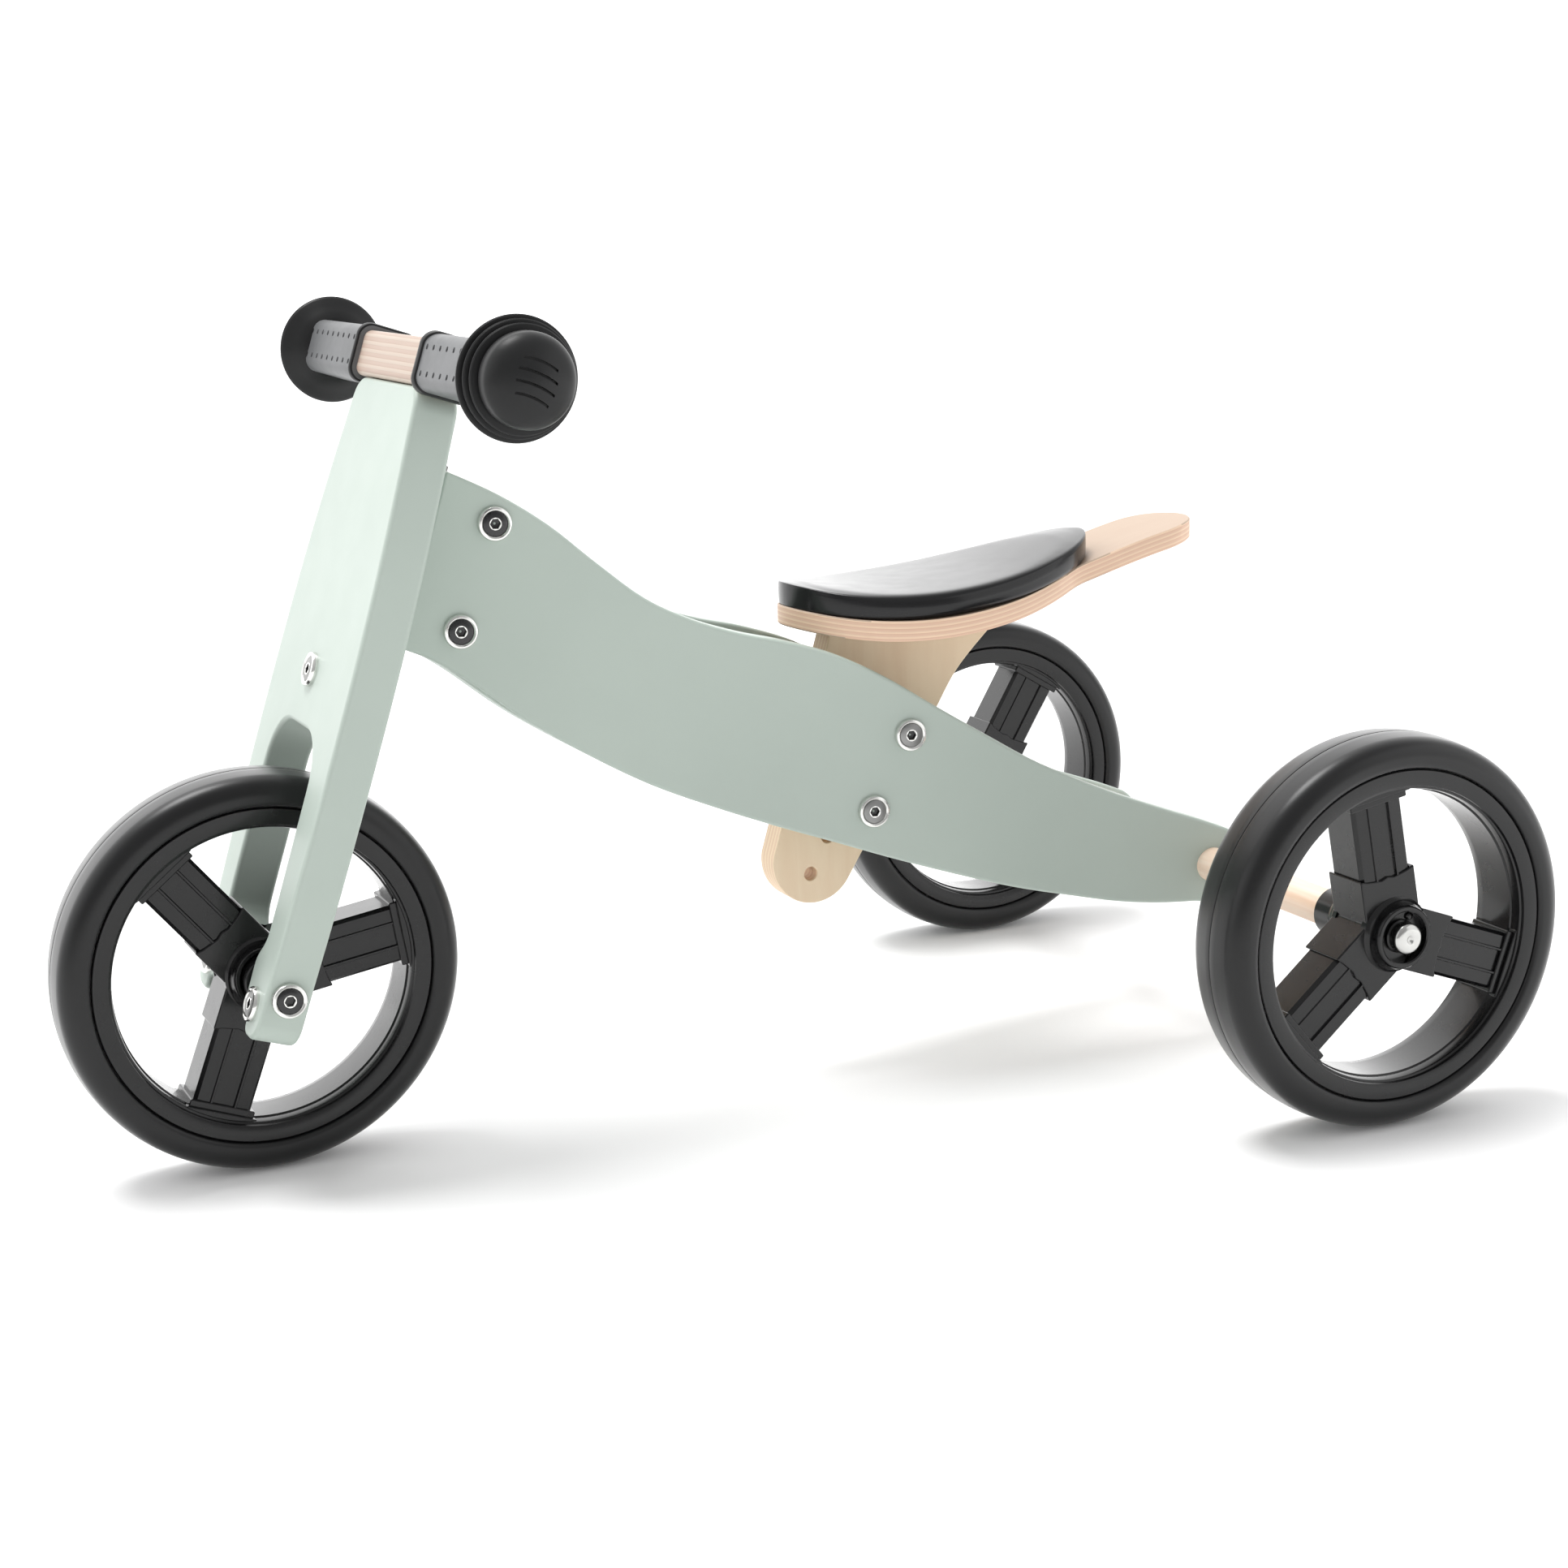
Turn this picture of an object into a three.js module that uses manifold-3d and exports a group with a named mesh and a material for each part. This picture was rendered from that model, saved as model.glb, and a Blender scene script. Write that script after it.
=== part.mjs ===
// Three-wheeled wooden balance bike, as separate bench parts.
// Millimetres, +Z up. The bike faces -X. The origin is on the floor, on the centre
// plane, midway between the front and the rear axle.
import * as THREE from 'three';
import { mergeVertices } from 'three/addons/utils/BufferGeometryUtils.js';
import Module from 'manifold-3d';

const wasm = await Module();
wasm.setup();

// ---------- driving dimensions ----------
const WHEELBASE = 490;
const TRACK = 400;                    // rear wheels, centre plane to centre plane
const FIT_GAP = 0.3;                  // between pieces that touch
const BEVEL = 1.5;                    // eased edge of the painted boards
const FACETS = { small: 12, medium: 16, grip: 20, wheel: 36 };

const TYRE = { radius: 95, halfWidth: 19, seatRadius: 80, shoulder: 9 };
const RIM = { halfWidth: 17.5, innerRadius: 70 };
const SPOKE = { count: 3, width: 28, depth: 24, collarWidth: 33, collarDepth: 27 };
const HUB = { radius: 15, halfLength: 20.5, recessRadius: 12.5, recessDepth: 4, sleeveReach: 33 };
const BUSH = { radius: 7, length: 14 };
const AXLE_RADIUS = 4;

const RAKE = THREE.MathUtils.degToRad(18.5);
const FORK = { thickness: 21, top: 279.5, bottom: -23, cornerRadius: 12 };
const SLOT = { halfWidth: 38, top: 116, cornerRadius: 24, bossHalfWidth: 28, bossTop: 14, bossBottom: -15 };
const STEER_AXIS = FORK.thickness / 2 + 12;          // behind the fork's middle plane
const PANEL_FRONT = FORK.thickness / 2 + 10;         // front edge of the panels, behind that plane

const PANEL_THICKNESS = 12;
const PANEL_HALF_WIDTH_AT_REAR_AXLE = 58;
const PANEL_SPLAY = 0.0925;                          // half width gained per millimetre rearward

const BAR = { height: 22, depth: 24, halfLength: 152, cornerRadius: 4 };
const BAR_CENTRE = FORK.top + FIT_GAP + BAR.height / 2;
const GRIP = {
  inner: 50, flange: 144, wall: 2.2, collarWall: 1.5,
  flangeRadius: 26.5, ringPitch: 3.8, ringStep: 1.7, domeRadius: 20, domeEnd: 171,
};

const BOARD_THICKNESS = 10;
const PAD_THICKNESS = 12;
const SEAT = { middle: 102, front: 72, rear: 100, halfWidth: 52, tailHalfWidth: 26, tailEnd: 262 };
const POST = { thickness: 16, footX: 39.5, footZ: 112.5, footRadius: 22.5 };

const DOWEL_RADIUS = 9;
const HEAD = { radius: 8.5, height: 3.2, socket: 3, socketDepth: 2.2 };

const FRONT_AXLE = new THREE.Vector3(-WHEELBASE / 2, 0, TYRE.radius);
const REAR_AXLE = new THREE.Vector3(WHEELBASE / 2, 0, TYRE.radius);

// ---------- materials ----------
const material = (color, roughness, metalness) => new THREE.MeshStandardMaterial({ color, roughness, metalness });
const SAGE = material(0xb9c4ba, 0.5, 0);
const PLY = material(0xe6c9a8, 0.6, 0);
const VINYL = material(0x25272a, 0.3, 0);
const GRIP_RUBBER = material(0x5c5e61, 0.7, 0);
const TYRE_FOAM = material(0x3a3b3d, 0.75, 0);
const BLACK_PLASTIC = material(0x232425, 0.5, 0);
const NICKEL = material(0xc9c8c4, 0.25, 1);
const BLACK_BOLT = material(0x1b1b1c, 0.3, 0.8);

// ---------- solids ----------
function signedVolume(position, index) {
  const a = new THREE.Vector3();
  const b = new THREE.Vector3();
  const c = new THREE.Vector3();
  let volume = 0;
  for (let i = 0; i < index.count; i += 3) {
    a.fromBufferAttribute(position, index.getX(i));
    b.fromBufferAttribute(position, index.getX(i + 1));
    c.fromBufferAttribute(position, index.getX(i + 2));
    volume += a.dot(b.cross(c)) / 6;
  }
  return volume;
}

// A closed three.js geometry as a solid, with its faces turned outwards.
function solid(geometry) {
  const bare = geometry.clone();
  bare.deleteAttribute('normal');
  bare.deleteAttribute('uv');
  const merged = mergeVertices(bare, 1e-4);
  const index = Array.from(merged.index.array);
  const triangles = [];
  for (let i = 0; i < index.length; i += 3) {
    const [a, b, c] = index.slice(i, i + 3);
    if (a !== b && b !== c && c !== a) triangles.push(a, b, c);
  }
  merged.setIndex(triangles);
  if (signedVolume(merged.attributes.position, merged.index) < 0) triangles.reverse();
  const mesh = new wasm.Mesh({
    numProp: 3,
    vertProperties: new Float32Array(merged.attributes.position.array),
    triVerts: new Uint32Array(triangles),
  });
  return new wasm.Manifold(mesh);
}

function geometryOf(shape) {
  const mesh = shape.getMesh();
  const geometry = new THREE.BufferGeometry();
  geometry.setAttribute('position', new THREE.BufferAttribute(new Float32Array(mesh.vertProperties), 3));
  geometry.setIndex(new THREE.BufferAttribute(new Uint32Array(mesh.triVerts), 1));
  geometry.computeVertexNormals();
  return geometry;
}

// Shapes drawn in (y, z) and extruded along X, drawn in (x, z) and extruded along Y,
// or drawn in (x, y) and extruded along Z; each is centred on its drawing plane.
const TO_X = new THREE.Matrix4().makeBasis(
  new THREE.Vector3(0, 1, 0), new THREE.Vector3(0, 0, 1), new THREE.Vector3(1, 0, 0));
const TO_Y = new THREE.Matrix4().makeBasis(
  new THREE.Vector3(1, 0, 0), new THREE.Vector3(0, 0, 1), new THREE.Vector3(0, -1, 0));
const TO_Z = new THREE.Matrix4();

function extrude(shape, depth, basis, bevel = 0, curveSegments = 6) {
  const geometry = new THREE.ExtrudeGeometry(shape, {
    depth: depth - 2 * bevel, steps: 1, curveSegments,
    bevelEnabled: bevel > 0, bevelThickness: bevel, bevelSize: bevel, bevelOffset: -bevel, bevelSegments: 1,
  });
  geometry.translate(0, 0, bevel - depth / 2);
  return geometry.applyMatrix4(basis);
}

function placed(geometry, x, y, z) {
  return geometry.translate(x, y, z);
}

function box(x0, x1, y0, y1, z0, z1) {
  return placed(new THREE.BoxGeometry(x1 - x0, y1 - y0, z1 - z0), (x0 + x1) / 2, (y0 + y1) / 2, (z0 + z1) / 2);
}

// A cylinder between two values of one axis, centred on (p, q) of the other two.
function rod(axis, radius, from, to, p = 0, q = 0, segments = FACETS.small) {
  const geometry = new THREE.CylinderGeometry(radius, radius, to - from, segments);
  const middle = (from + to) / 2;
  if (axis === 'x') return placed(geometry.rotateZ(Math.PI / 2), middle, p, q);
  if (axis === 'y') return placed(geometry, p, middle, q);
  return placed(geometry.rotateX(Math.PI / 2), p, q, middle);
}

// A profile of [radius, y] points turned about the Y axis.
function turned(profile, segments = FACETS.medium) {
  return new THREE.LatheGeometry(profile.map(([r, y]) => new THREE.Vector2(r, y)), segments);
}

const cut = (body, ...tools) => tools.reduce((left, tool) => left.subtract(solid(tool)), body);
const join = (body, ...others) => others.reduce((left, other) => left.add(solid(other)), body);

function node(name, shape, look) {
  const geometry = shape.isBufferGeometry ? geometryOf(solid(shape)) : geometryOf(shape);
  const mesh = new THREE.Mesh(geometry, look);
  mesh.name = name;
  return mesh;
}

// ---------- the splayed side panels ----------
const panelOuter = (x) => PANEL_HALF_WIDTH_AT_REAR_AXLE + PANEL_SPLAY * (x - REAR_AXLE.x);
const panelInner = (x) => panelOuter(x) - PANEL_THICKNESS * Math.hypot(1, PANEL_SPLAY);

// A point of the raked head, "up" the fork from the front axle and "back" from its middle plane.
function headPoint(back, up) {
  const x = FRONT_AXLE.x + up * Math.sin(RAKE) + back * Math.cos(RAKE);
  const z = FRONT_AXLE.z + up * Math.cos(RAKE) - back * Math.sin(RAKE);
  return new THREE.Vector2(x, z);
}

const HEAD_BOLTS = [{ name: 'upper', x: -126, z: 297 }, { name: 'lower', x: -144.5, z: 248 }];
const POST_HOLES = Array.from({ length: 5 }, (_, i) => ({ x: 37.5 + 10 * i, z: 105.5 + 18.4 * i }));
const POST_BOLTS = [{ name: 'upper', ...POST_HOLES[4] }, { name: 'lower', ...POST_HOLES[2] }];

function panelOutline() {
  const top = [[-101, 294.5], [-56, 257], [-20, 239.5], [15, 230], [42, 221], [91, 192.5], [143, 160.5], [193, 137]];
  const bottom = [[191, 81], [134, 94.5], [68, 116.5], [5, 140], [-56, 166], [-114, 201.5], [-142, 224]];
  const topCorner = headPoint(PANEL_FRONT, 246);
  const bottomCorner = headPoint(PANEL_FRONT, 162);
  const tailRadius = 20;
  const shape = new THREE.Shape();
  shape.moveTo(bottomCorner.x, bottomCorner.y);
  shape.lineTo(topCorner.x, topCorner.y);
  shape.splineThru(top.map(([x, z]) => new THREE.Vector2(x, z)));
  for (let angle = 1.25; angle > -1.8; angle -= 0.375) {
    shape.lineTo(REAR_AXLE.x + tailRadius * Math.cos(angle), REAR_AXLE.z + tailRadius * Math.sin(angle));
  }
  shape.splineThru([...bottom.map(([x, z]) => new THREE.Vector2(x, z)), bottomCorner]);
  return shape;
}

// side is -1 for the left panel and +1 for the right one.
function sidePanel(side) {
  const board = extrude(panelOutline(), PANEL_THICKNESS, TO_Y, BEVEL, 2);
  const shear = Math.atan(PANEL_SPLAY) * side;
  board.translate(-REAR_AXLE.x, 0, 0);
  board.rotateZ(shear);
  const middle = PANEL_HALF_WIDTH_AT_REAR_AXLE - PANEL_THICKNESS * Math.hypot(1, PANEL_SPLAY) / 2;
  board.translate(REAR_AXLE.x, side * middle, 0);
  const tools = [rod('y', DOWEL_RADIUS + FIT_GAP, -90, 90, REAR_AXLE.x, REAR_AXLE.z, FACETS.medium)];
  for (const bolt of [...HEAD_BOLTS, ...POST_BOLTS]) {
    tools.push(rod('y', SLEEVE_RADIUS + FIT_GAP, -90, 90, bolt.x, bolt.z));
    const seatFace = boltFace(bolt.x) - FIT_GAP;
    tools.push(side < 0
      ? rod('y', HEAD.radius + FIT_GAP, -90, -seatFace, bolt.x, bolt.z, FACETS.medium)
      : rod('y', HEAD.radius + FIT_GAP, seatFace, 90, bolt.x, bolt.z, FACETS.medium));
  }
  return cut(solid(board), ...tools);
}

// ---------- fasteners ----------
const BOLT_RADIUS = 3;
const SLEEVE_RADIUS = 4.5;

// How far out a bolt head's underside sits: level with the splayed face at the head's front edge.
const boltFace = (x) => panelOuter(x - HEAD.radius);

// A low domed head with a hex socket. Its underside is at y = 0, its shank runs to +Y.
function headBolt(shankRadius, length, head = HEAD) {
  const profile = [[0, -head.height], [head.radius - 1.4, -head.height], [head.radius, -head.height + 1.2],
    [head.radius, 0], [shankRadius, 0], [shankRadius, length], [0, length]];
  const socket = rod('y', head.socket, -head.height - 1, -head.height + head.socketDepth, 0, 0, 6);
  return cut(solid(turned(profile, FACETS.small)), socket);
}

// A sleeve nut: the same head on a hollow barrel that the bolt's end goes into.
function sleeveNut(length) {
  const body = headBolt(SLEEVE_RADIUS, length);
  return cut(body, rod('y', BOLT_RADIUS + FIT_GAP, 1, length + 1, 0, 0));
}

// A bolt from the left and its sleeve nut from the right, at (x, z), across the frame.
function crossBolt(prefix, { name, x, z }, metal, group) {
  const face = boltFace(x) + FIT_GAP;
  const bolt = node(`${prefix}_bolt_${name}`, headBolt(BOLT_RADIUS, 2 * face - 6), metal);
  bolt.position.set(x, -face, z);
  const nut = node(`${prefix}_nut_${name}`, sleeveNut(16), metal);
  nut.position.set(x, face, z);
  nut.rotation.z = Math.PI;
  group.add(bolt, nut);
}

// ---------- steering head ----------
const KNUCKLE = { radius: 6, web: 3.5, bottom: 163, lowerTop: 177.5, upperBottom: 230.5, top: 245 };
const PIN_RADIUS = 3;

// The block between the panels' front ends, with a round nose that carries the steering pin.
function headBlock() {
  const low = KNUCKLE.lowerTop + 0.5;
  const high = KNUCKLE.upperBottom - 0.5;
  const outline = new THREE.Shape([headPoint(30, 243), headPoint(30, high), headPoint(STEER_AXIS, high),
    headPoint(STEER_AXIS, low), headPoint(30, low), headPoint(30, 165), headPoint(66, 172), headPoint(58, 236)]);
  const side = solid(extrude(outline, 80, TO_Y));
  const inner = (x) => panelInner(x) - FIT_GAP;
  const plan = new THREE.Shape([new THREE.Vector2(-200, -inner(-200)), new THREE.Vector2(-60, -inner(-60)),
    new THREE.Vector2(-60, inner(-60)), new THREE.Vector2(-200, inner(-200))]);
  const wedge = solid(placed(extrude(plan, 400, TO_Z), 0, 0, 200));
  const nose = inHeadFrame(rod('z', KNUCKLE.radius, low, high, STEER_AXIS, 0, FACETS.medium));
  const pinBore = inHeadFrame(rod('z', PIN_RADIUS + FIT_GAP, 150, 260, STEER_AXIS, 0));
  const boltBores = HEAD_BOLTS.map(({ x, z }) => rod('y', SLEEVE_RADIUS + FIT_GAP, -60, 60, x, z));
  return cut(join(side.intersect(wedge), nose), pinBore, ...boltBores);
}

function inHeadFrame(geometry) {
  return geometry.rotateY(RAKE).translate(FRONT_AXLE.x, FRONT_AXLE.y, FRONT_AXLE.z);
}

// The steel hinge leaf let into the back of the fork, with two knuckles round the pin.
const LEAF = { thickness: 3, halfWidth: 14, bottom: 131, top: 252 };
const HINGE_BOLT_UP = 140;
const HINGE_SCREWS_UP = [204 - 12, 204 + 12];

function hingeLeaf() {
  const back = FORK.thickness / 2;
  const plate = solid(box(back - LEAF.thickness, back, -LEAF.halfWidth, LEAF.halfWidth, LEAF.bottom, LEAF.top));
  const parts = [];
  for (const [from, to] of [[KNUCKLE.bottom, KNUCKLE.lowerTop], [KNUCKLE.upperBottom, KNUCKLE.top]]) {
    parts.push(box(back - 1, STEER_AXIS, -KNUCKLE.web, KNUCKLE.web, from, to));
    parts.push(rod('z', KNUCKLE.radius, from, to, STEER_AXIS, 0, FACETS.medium));
  }
  const holes = [rod('z', PIN_RADIUS + FIT_GAP, 150, 260, STEER_AXIS, 0),
    rod('x', BOLT_RADIUS + FIT_GAP, 0, 20, 0, HINGE_BOLT_UP)];
  for (const up of HINGE_SCREWS_UP) holes.push(rod('x', 2.5 + FIT_GAP, 0, 20, 0, up));
  return cut(join(plate, ...parts), ...holes);
}

function steeringPin() {
  const profile = [[0, 158], [5.5, 158], [5.5, KNUCKLE.bottom - FIT_GAP], [PIN_RADIUS, KNUCKLE.bottom - FIT_GAP],
    [PIN_RADIUS, KNUCKLE.top + FIT_GAP], [5.5, KNUCKLE.top + FIT_GAP], [5.5, 249], [0, 249]];
  return turned(profile, FACETS.small).rotateX(Math.PI / 2).rotateZ(Math.PI);
}

// ---------- fork ----------
// Half of the board's outline, from the bottom up: [half width, up].
const FORK_SIDE = [[59, -10], [62.5, 36], [65, 90], [64.5, 150], [60.5, 205], [54, 245], [48, 268]];

function forkOutline() {
  const { top, bottom, cornerRadius: r } = FORK;
  const last = FORK_SIDE[FORK_SIDE.length - 1];
  const shape = new THREE.Shape();
  shape.moveTo(-last[0] + r, top);
  shape.lineTo(last[0] - r, top);
  shape.quadraticCurveTo(last[0] - 2, top, last[0], last[1]);
  shape.splineThru(FORK_SIDE.slice(0, -1).reverse().map(([w, up]) => new THREE.Vector2(w, up)));
  shape.quadraticCurveTo(FORK_SIDE[0][0], bottom, FORK_SIDE[0][0] - 16, bottom);
  shape.lineTo(16 - FORK_SIDE[0][0], bottom);
  shape.quadraticCurveTo(-FORK_SIDE[0][0], bottom, -FORK_SIDE[0][0], FORK_SIDE[0][1]);
  shape.splineThru(FORK_SIDE.slice(1).map(([w, up]) => new THREE.Vector2(-w, up)));
  shape.quadraticCurveTo(2 - last[0], top, -last[0] + r, top);
  return shape;
}

// The wheel slot, open at the bottom, narrowed by a boss on each leg at the axle.
function slotOutline() {
  const { halfWidth: w, top, cornerRadius: r, bossHalfWidth: b, bossTop, bossBottom } = SLOT;
  const shape = new THREE.Shape();
  shape.moveTo(-w, FORK.bottom - 10);
  shape.lineTo(-w, bossBottom - 9);
  shape.bezierCurveTo(-w, bossBottom - 2, -b, bossBottom - 5, -b, bossBottom + 3);
  shape.lineTo(-b, bossTop - 3);
  shape.bezierCurveTo(-b, bossTop + 8, -w, bossTop + 4, -w, bossTop + 20);
  shape.lineTo(-w, top - r);
  shape.absarc(-w + r, top - r, r, Math.PI, Math.PI / 2, true);
  shape.absarc(w - r, top - r, r, Math.PI / 2, 0, true);
  shape.lineTo(w, bossTop + 20);
  shape.bezierCurveTo(w, bossTop + 4, b, bossTop + 8, b, bossTop - 3);
  shape.lineTo(b, bossBottom + 3);
  shape.bezierCurveTo(b, bossBottom - 5, w, bossBottom - 2, w, bossBottom - 9);
  shape.lineTo(w, FORK.bottom - 10);
  return shape;
}

const LEG_BOLT = { across: 44, up: -10, length: 16 };

function fork() {
  const half = FORK.thickness / 2;
  const board = solid(extrude(forkOutline(), FORK.thickness, TO_X, BEVEL, 2));
  const tools = [extrude(slotOutline(), 60, TO_X, 0, 3),
    rod('y', AXLE_RADIUS + FIT_GAP, -80, 80, 0, 0, FACETS.medium),
    rod('x', BOLT_RADIUS + FIT_GAP, -20, 20, 0, HINGE_BOLT_UP),
    box(half - LEAF.thickness - FIT_GAP, half + 5, -LEAF.halfWidth - FIT_GAP, LEAF.halfWidth + FIT_GAP,
      LEAF.bottom - FIT_GAP, LEAF.top + FIT_GAP)];
  for (const side of [-1, 1]) {
    const boltEnd = LEG_BOLT.length - half + 1;
    tools.push(rod('x', BOLT_RADIUS + FIT_GAP, -20, boltEnd, side * LEG_BOLT.across, LEG_BOLT.up));
    tools.push(rod('y', SLEEVE_RADIUS + FIT_GAP, side < 0 ? -80 : 42, side < 0 ? -42 : 80, 0, 0));
    tools.push(barScrewAt(side, FIT_GAP));
  }
  for (const up of HINGE_SCREWS_UP) tools.push(rod('x', 2.5 + FIT_GAP, -6, 20, 0, up));
  return cut(board, ...tools);
}

// ---------- handlebar and grips ----------
const BAR_SCREW_ACROSS = 22;

function roundedRectangle(width, height, radius) {
  const x = width / 2 - radius;
  const y = height / 2 - radius;
  const shape = new THREE.Shape();
  shape.absarc(x, y, radius, 0, Math.PI / 2, false);
  shape.absarc(-x, y, radius, Math.PI / 2, Math.PI, false);
  shape.absarc(-x, -y, radius, Math.PI, 1.5 * Math.PI, false);
  shape.absarc(x, -y, radius, 1.5 * Math.PI, 2 * Math.PI, false);
  return shape;
}

function handlebar() {
  const section = roundedRectangle(BAR.depth, BAR.height, BAR.cornerRadius);
  const bar = placed(extrude(section, 2 * BAR.halfLength, TO_Y, 0, 2), 0, 0, BAR_CENTRE);
  return cut(solid(bar), barScrewAt(-1, FIT_GAP), barScrewAt(1, FIT_GAP));
}

// The right grip: a rounded square sleeve, a dished flange, stepped rings and a domed end.
function grip() {
  const { inner, flange, wall, collarWall, flangeRadius, ringPitch, ringStep, domeRadius, domeEnd } = GRIP;
  const rings = [];
  for (let i = 0; i < 3; i += 1) {
    const y = flange + ringPitch * i;
    const radius = flangeRadius - ringStep * i;
    rings.push([radius, y], [radius, y + ringPitch - 1.4], [radius - 2.4, y + ringPitch - 1.2]);
    rings.push([radius - 2.4, y + ringPitch]);
  }
  const base = flange + 3 * ringPitch;
  const end = turned([[0, flange - 9], [14, flange - 9], [19, flange - 6], ...rings, [domeRadius, base],
    [domeRadius, domeEnd - 11], [domeRadius - 2.5, domeEnd - 5.5], [domeRadius - 8, domeEnd - 1.5], [0, domeEnd]],
  FACETS.grip);
  const sleeve = roundedRectangle(BAR.depth + 2 * wall, BAR.height + 2 * wall, BAR.cornerRadius + wall);
  const lip = wall + collarWall;
  const collar = roundedRectangle(BAR.depth + 2 * lip, BAR.height + 2 * lip, BAR.cornerRadius + lip);
  const sleeveLength = flange - inner;
  const body = join(solid(placed(extrude(sleeve, sleeveLength, TO_Y, 0, 2), 0, inner + sleeveLength / 2, 0)),
    placed(extrude(collar, 4, TO_Y, 0, 2), 0, inner + 2, 0), end);
  const tunnel = roundedRectangle(BAR.depth + 2 * FIT_GAP, BAR.height + 2 * FIT_GAP, BAR.cornerRadius + FIT_GAP);
  const tunnelEnd = BAR.halfLength + FIT_GAP;
  return cut(body, placed(extrude(tunnel, tunnelEnd - 10, TO_Y, 0, 2), 0, (tunnelEnd + 10) / 2, 0));
}

function gripMesh(name, side) {
  const mesh = node(name, grip(), GRIP_RUBBER);
  mesh.position.z = BAR_CENTRE;
  mesh.rotation.z = side < 0 ? Math.PI : 0;
  return mesh;
}

// A countersunk wood screw with its head's top at z = 0 and its point down; grown, it is its own hole.
function woodScrew(length, grow = 0) {
  return turned([[0, -length - grow], [1.2 + grow, -length - grow], [2.5 + grow, -length + 5], [2.5 + grow, -3],
    [4.5 + grow, -0.8], [4.5 + grow, 4 * grow], [0, 4 * grow]], FACETS.small).rotateX(Math.PI / 2);
}

function barScrewAt(side, grow = 0) {
  return placed(woodScrew(BAR.height + 28, grow), 0, side * BAR_SCREW_ACROSS, BAR_CENTRE + BAR.height / 2 - 0.5);
}

// ---------- seat ----------
// The bent seat board's top surface along the centre plane: [x, z].
const SEAT_TOP = [[28, 242.5], [46, 239], [66, 237], [88, 236.8], [114, 238.6], [140, 242.2], [165, 247.8],
  [190, 254.5], [212, 260.8], [232, 266], [250, 269.8], [264, 271.8]];
const seatCurve = new THREE.SplineCurve(SEAT_TOP.map(([x, z]) => new THREE.Vector2(x, z)));

// Half width of the padded part at x: an ellipse in front and a fuller curve behind.
function padHalfWidth(x, inset = 0) {
  const t = x < SEAT.middle ? (SEAT.middle - x) / (SEAT.front - inset) : (x - SEAT.middle) / (SEAT.rear - inset);
  const power = x < SEAT.middle ? 2 : 1.7;
  return t >= 1 ? 0 : (SEAT.halfWidth - inset) * (1 - t ** power) ** (1 / power);
}

function planOutline(stations, halfWidth) {
  const near = stations.map((x) => new THREE.Vector2(x, -halfWidth(x)));
  const far = stations.slice(1, -1).reverse().map((x) => new THREE.Vector2(x, halfWidth(x)));
  return new THREE.Shape([...near, ...far]);
}

// Stations from one x to another, closer together towards both ends.
function stations(from, to, count) {
  return Array.from({ length: count + 1 }, (_, i) => from + (to - from) * (1 - Math.cos(Math.PI * i / count)) / 2);
}

function boardHalfWidth(x) {
  const { tailHalfWidth: t, tailEnd } = SEAT;
  const tail = x > tailEnd - t ? Math.sqrt(Math.max(0, t * t - (x - tailEnd + t) ** 2)) : t;
  return x < SEAT.middle ? padHalfWidth(x) : Math.max(padHalfWidth(x), tail);
}

// A band that follows the seat's curve between two heights above the board's top surface.
function seatBand(low, high) {
  const points = seatCurve.getPoints(16);
  const upper = points.map((p) => new THREE.Vector2(p.x, p.y + high));
  const lower = points.map((p) => new THREE.Vector2(p.x, p.y + low)).reverse();
  upper.unshift(new THREE.Vector2(points[0].x - 12, upper[0].y + 2));
  lower.push(new THREE.Vector2(points[0].x - 12, lower[lower.length - 1].y + 2));
  return solid(extrude(new THREE.Shape([...upper, ...lower]), 140, TO_Y));
}

function seatBoard() {
  const { front, middle, tailEnd } = SEAT;
  const plan = planOutline(stations(middle - front, tailEnd, 20), boardHalfWidth);
  const blank = solid(placed(extrude(plan, 120, TO_Z), 0, 0, 250));
  return cut(blank.intersect(seatBand(-BOARD_THICKNESS, 0)), ...SEAT_SCREWS.map((x) => seatScrewAt(x, FIT_GAP)));
}

function seatPad() {
  const { front, middle, rear } = SEAT;
  const plan = planOutline(stations(middle - front, middle + rear, 16), padHalfWidth);
  const blank = solid(placed(extrude(plan, 120, TO_Z), 0, 0, 250));
  return blank.intersect(seatBand(FIT_GAP, PAD_THICKNESS));
}

const SEAT_SCREWS = [SEAT_TOP[2][0], SEAT_TOP[4][0]];

function seatScrewAt(x, grow = 0) {
  const top = SEAT_TOP.find(([at]) => at === x)[1];
  return placed(woodScrew(44, grow), x, 0, top - 1);
}

function seatPost() {
  const { footX, footZ, footRadius: r } = POST;
  const shape = new THREE.Shape();
  shape.absarc(footX, footZ, r, Math.PI - 0.18, 2 * Math.PI - 0.55, false);
  shape.lineTo(111, 184.5);
  shape.quadraticCurveTo(127, 209, 148, 228);
  shape.lineTo(148, 250);
  shape.lineTo(52, 250);
  shape.lineTo(51, 226);
  const plank = solid(extrude(shape, POST.thickness, TO_Y, 0, 5));
  const holes = POST_HOLES.map(({ x, z }) => rod('y', 3.4, -20, 20, x, z));
  const screwHoles = SEAT_SCREWS.map((x) => seatScrewAt(x, FIT_GAP));
  const seat = seatBand(-BOARD_THICKNESS - FIT_GAP, 60);
  return cut(plank.subtract(seat), ...holes, ...screwHoles);
}

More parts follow.
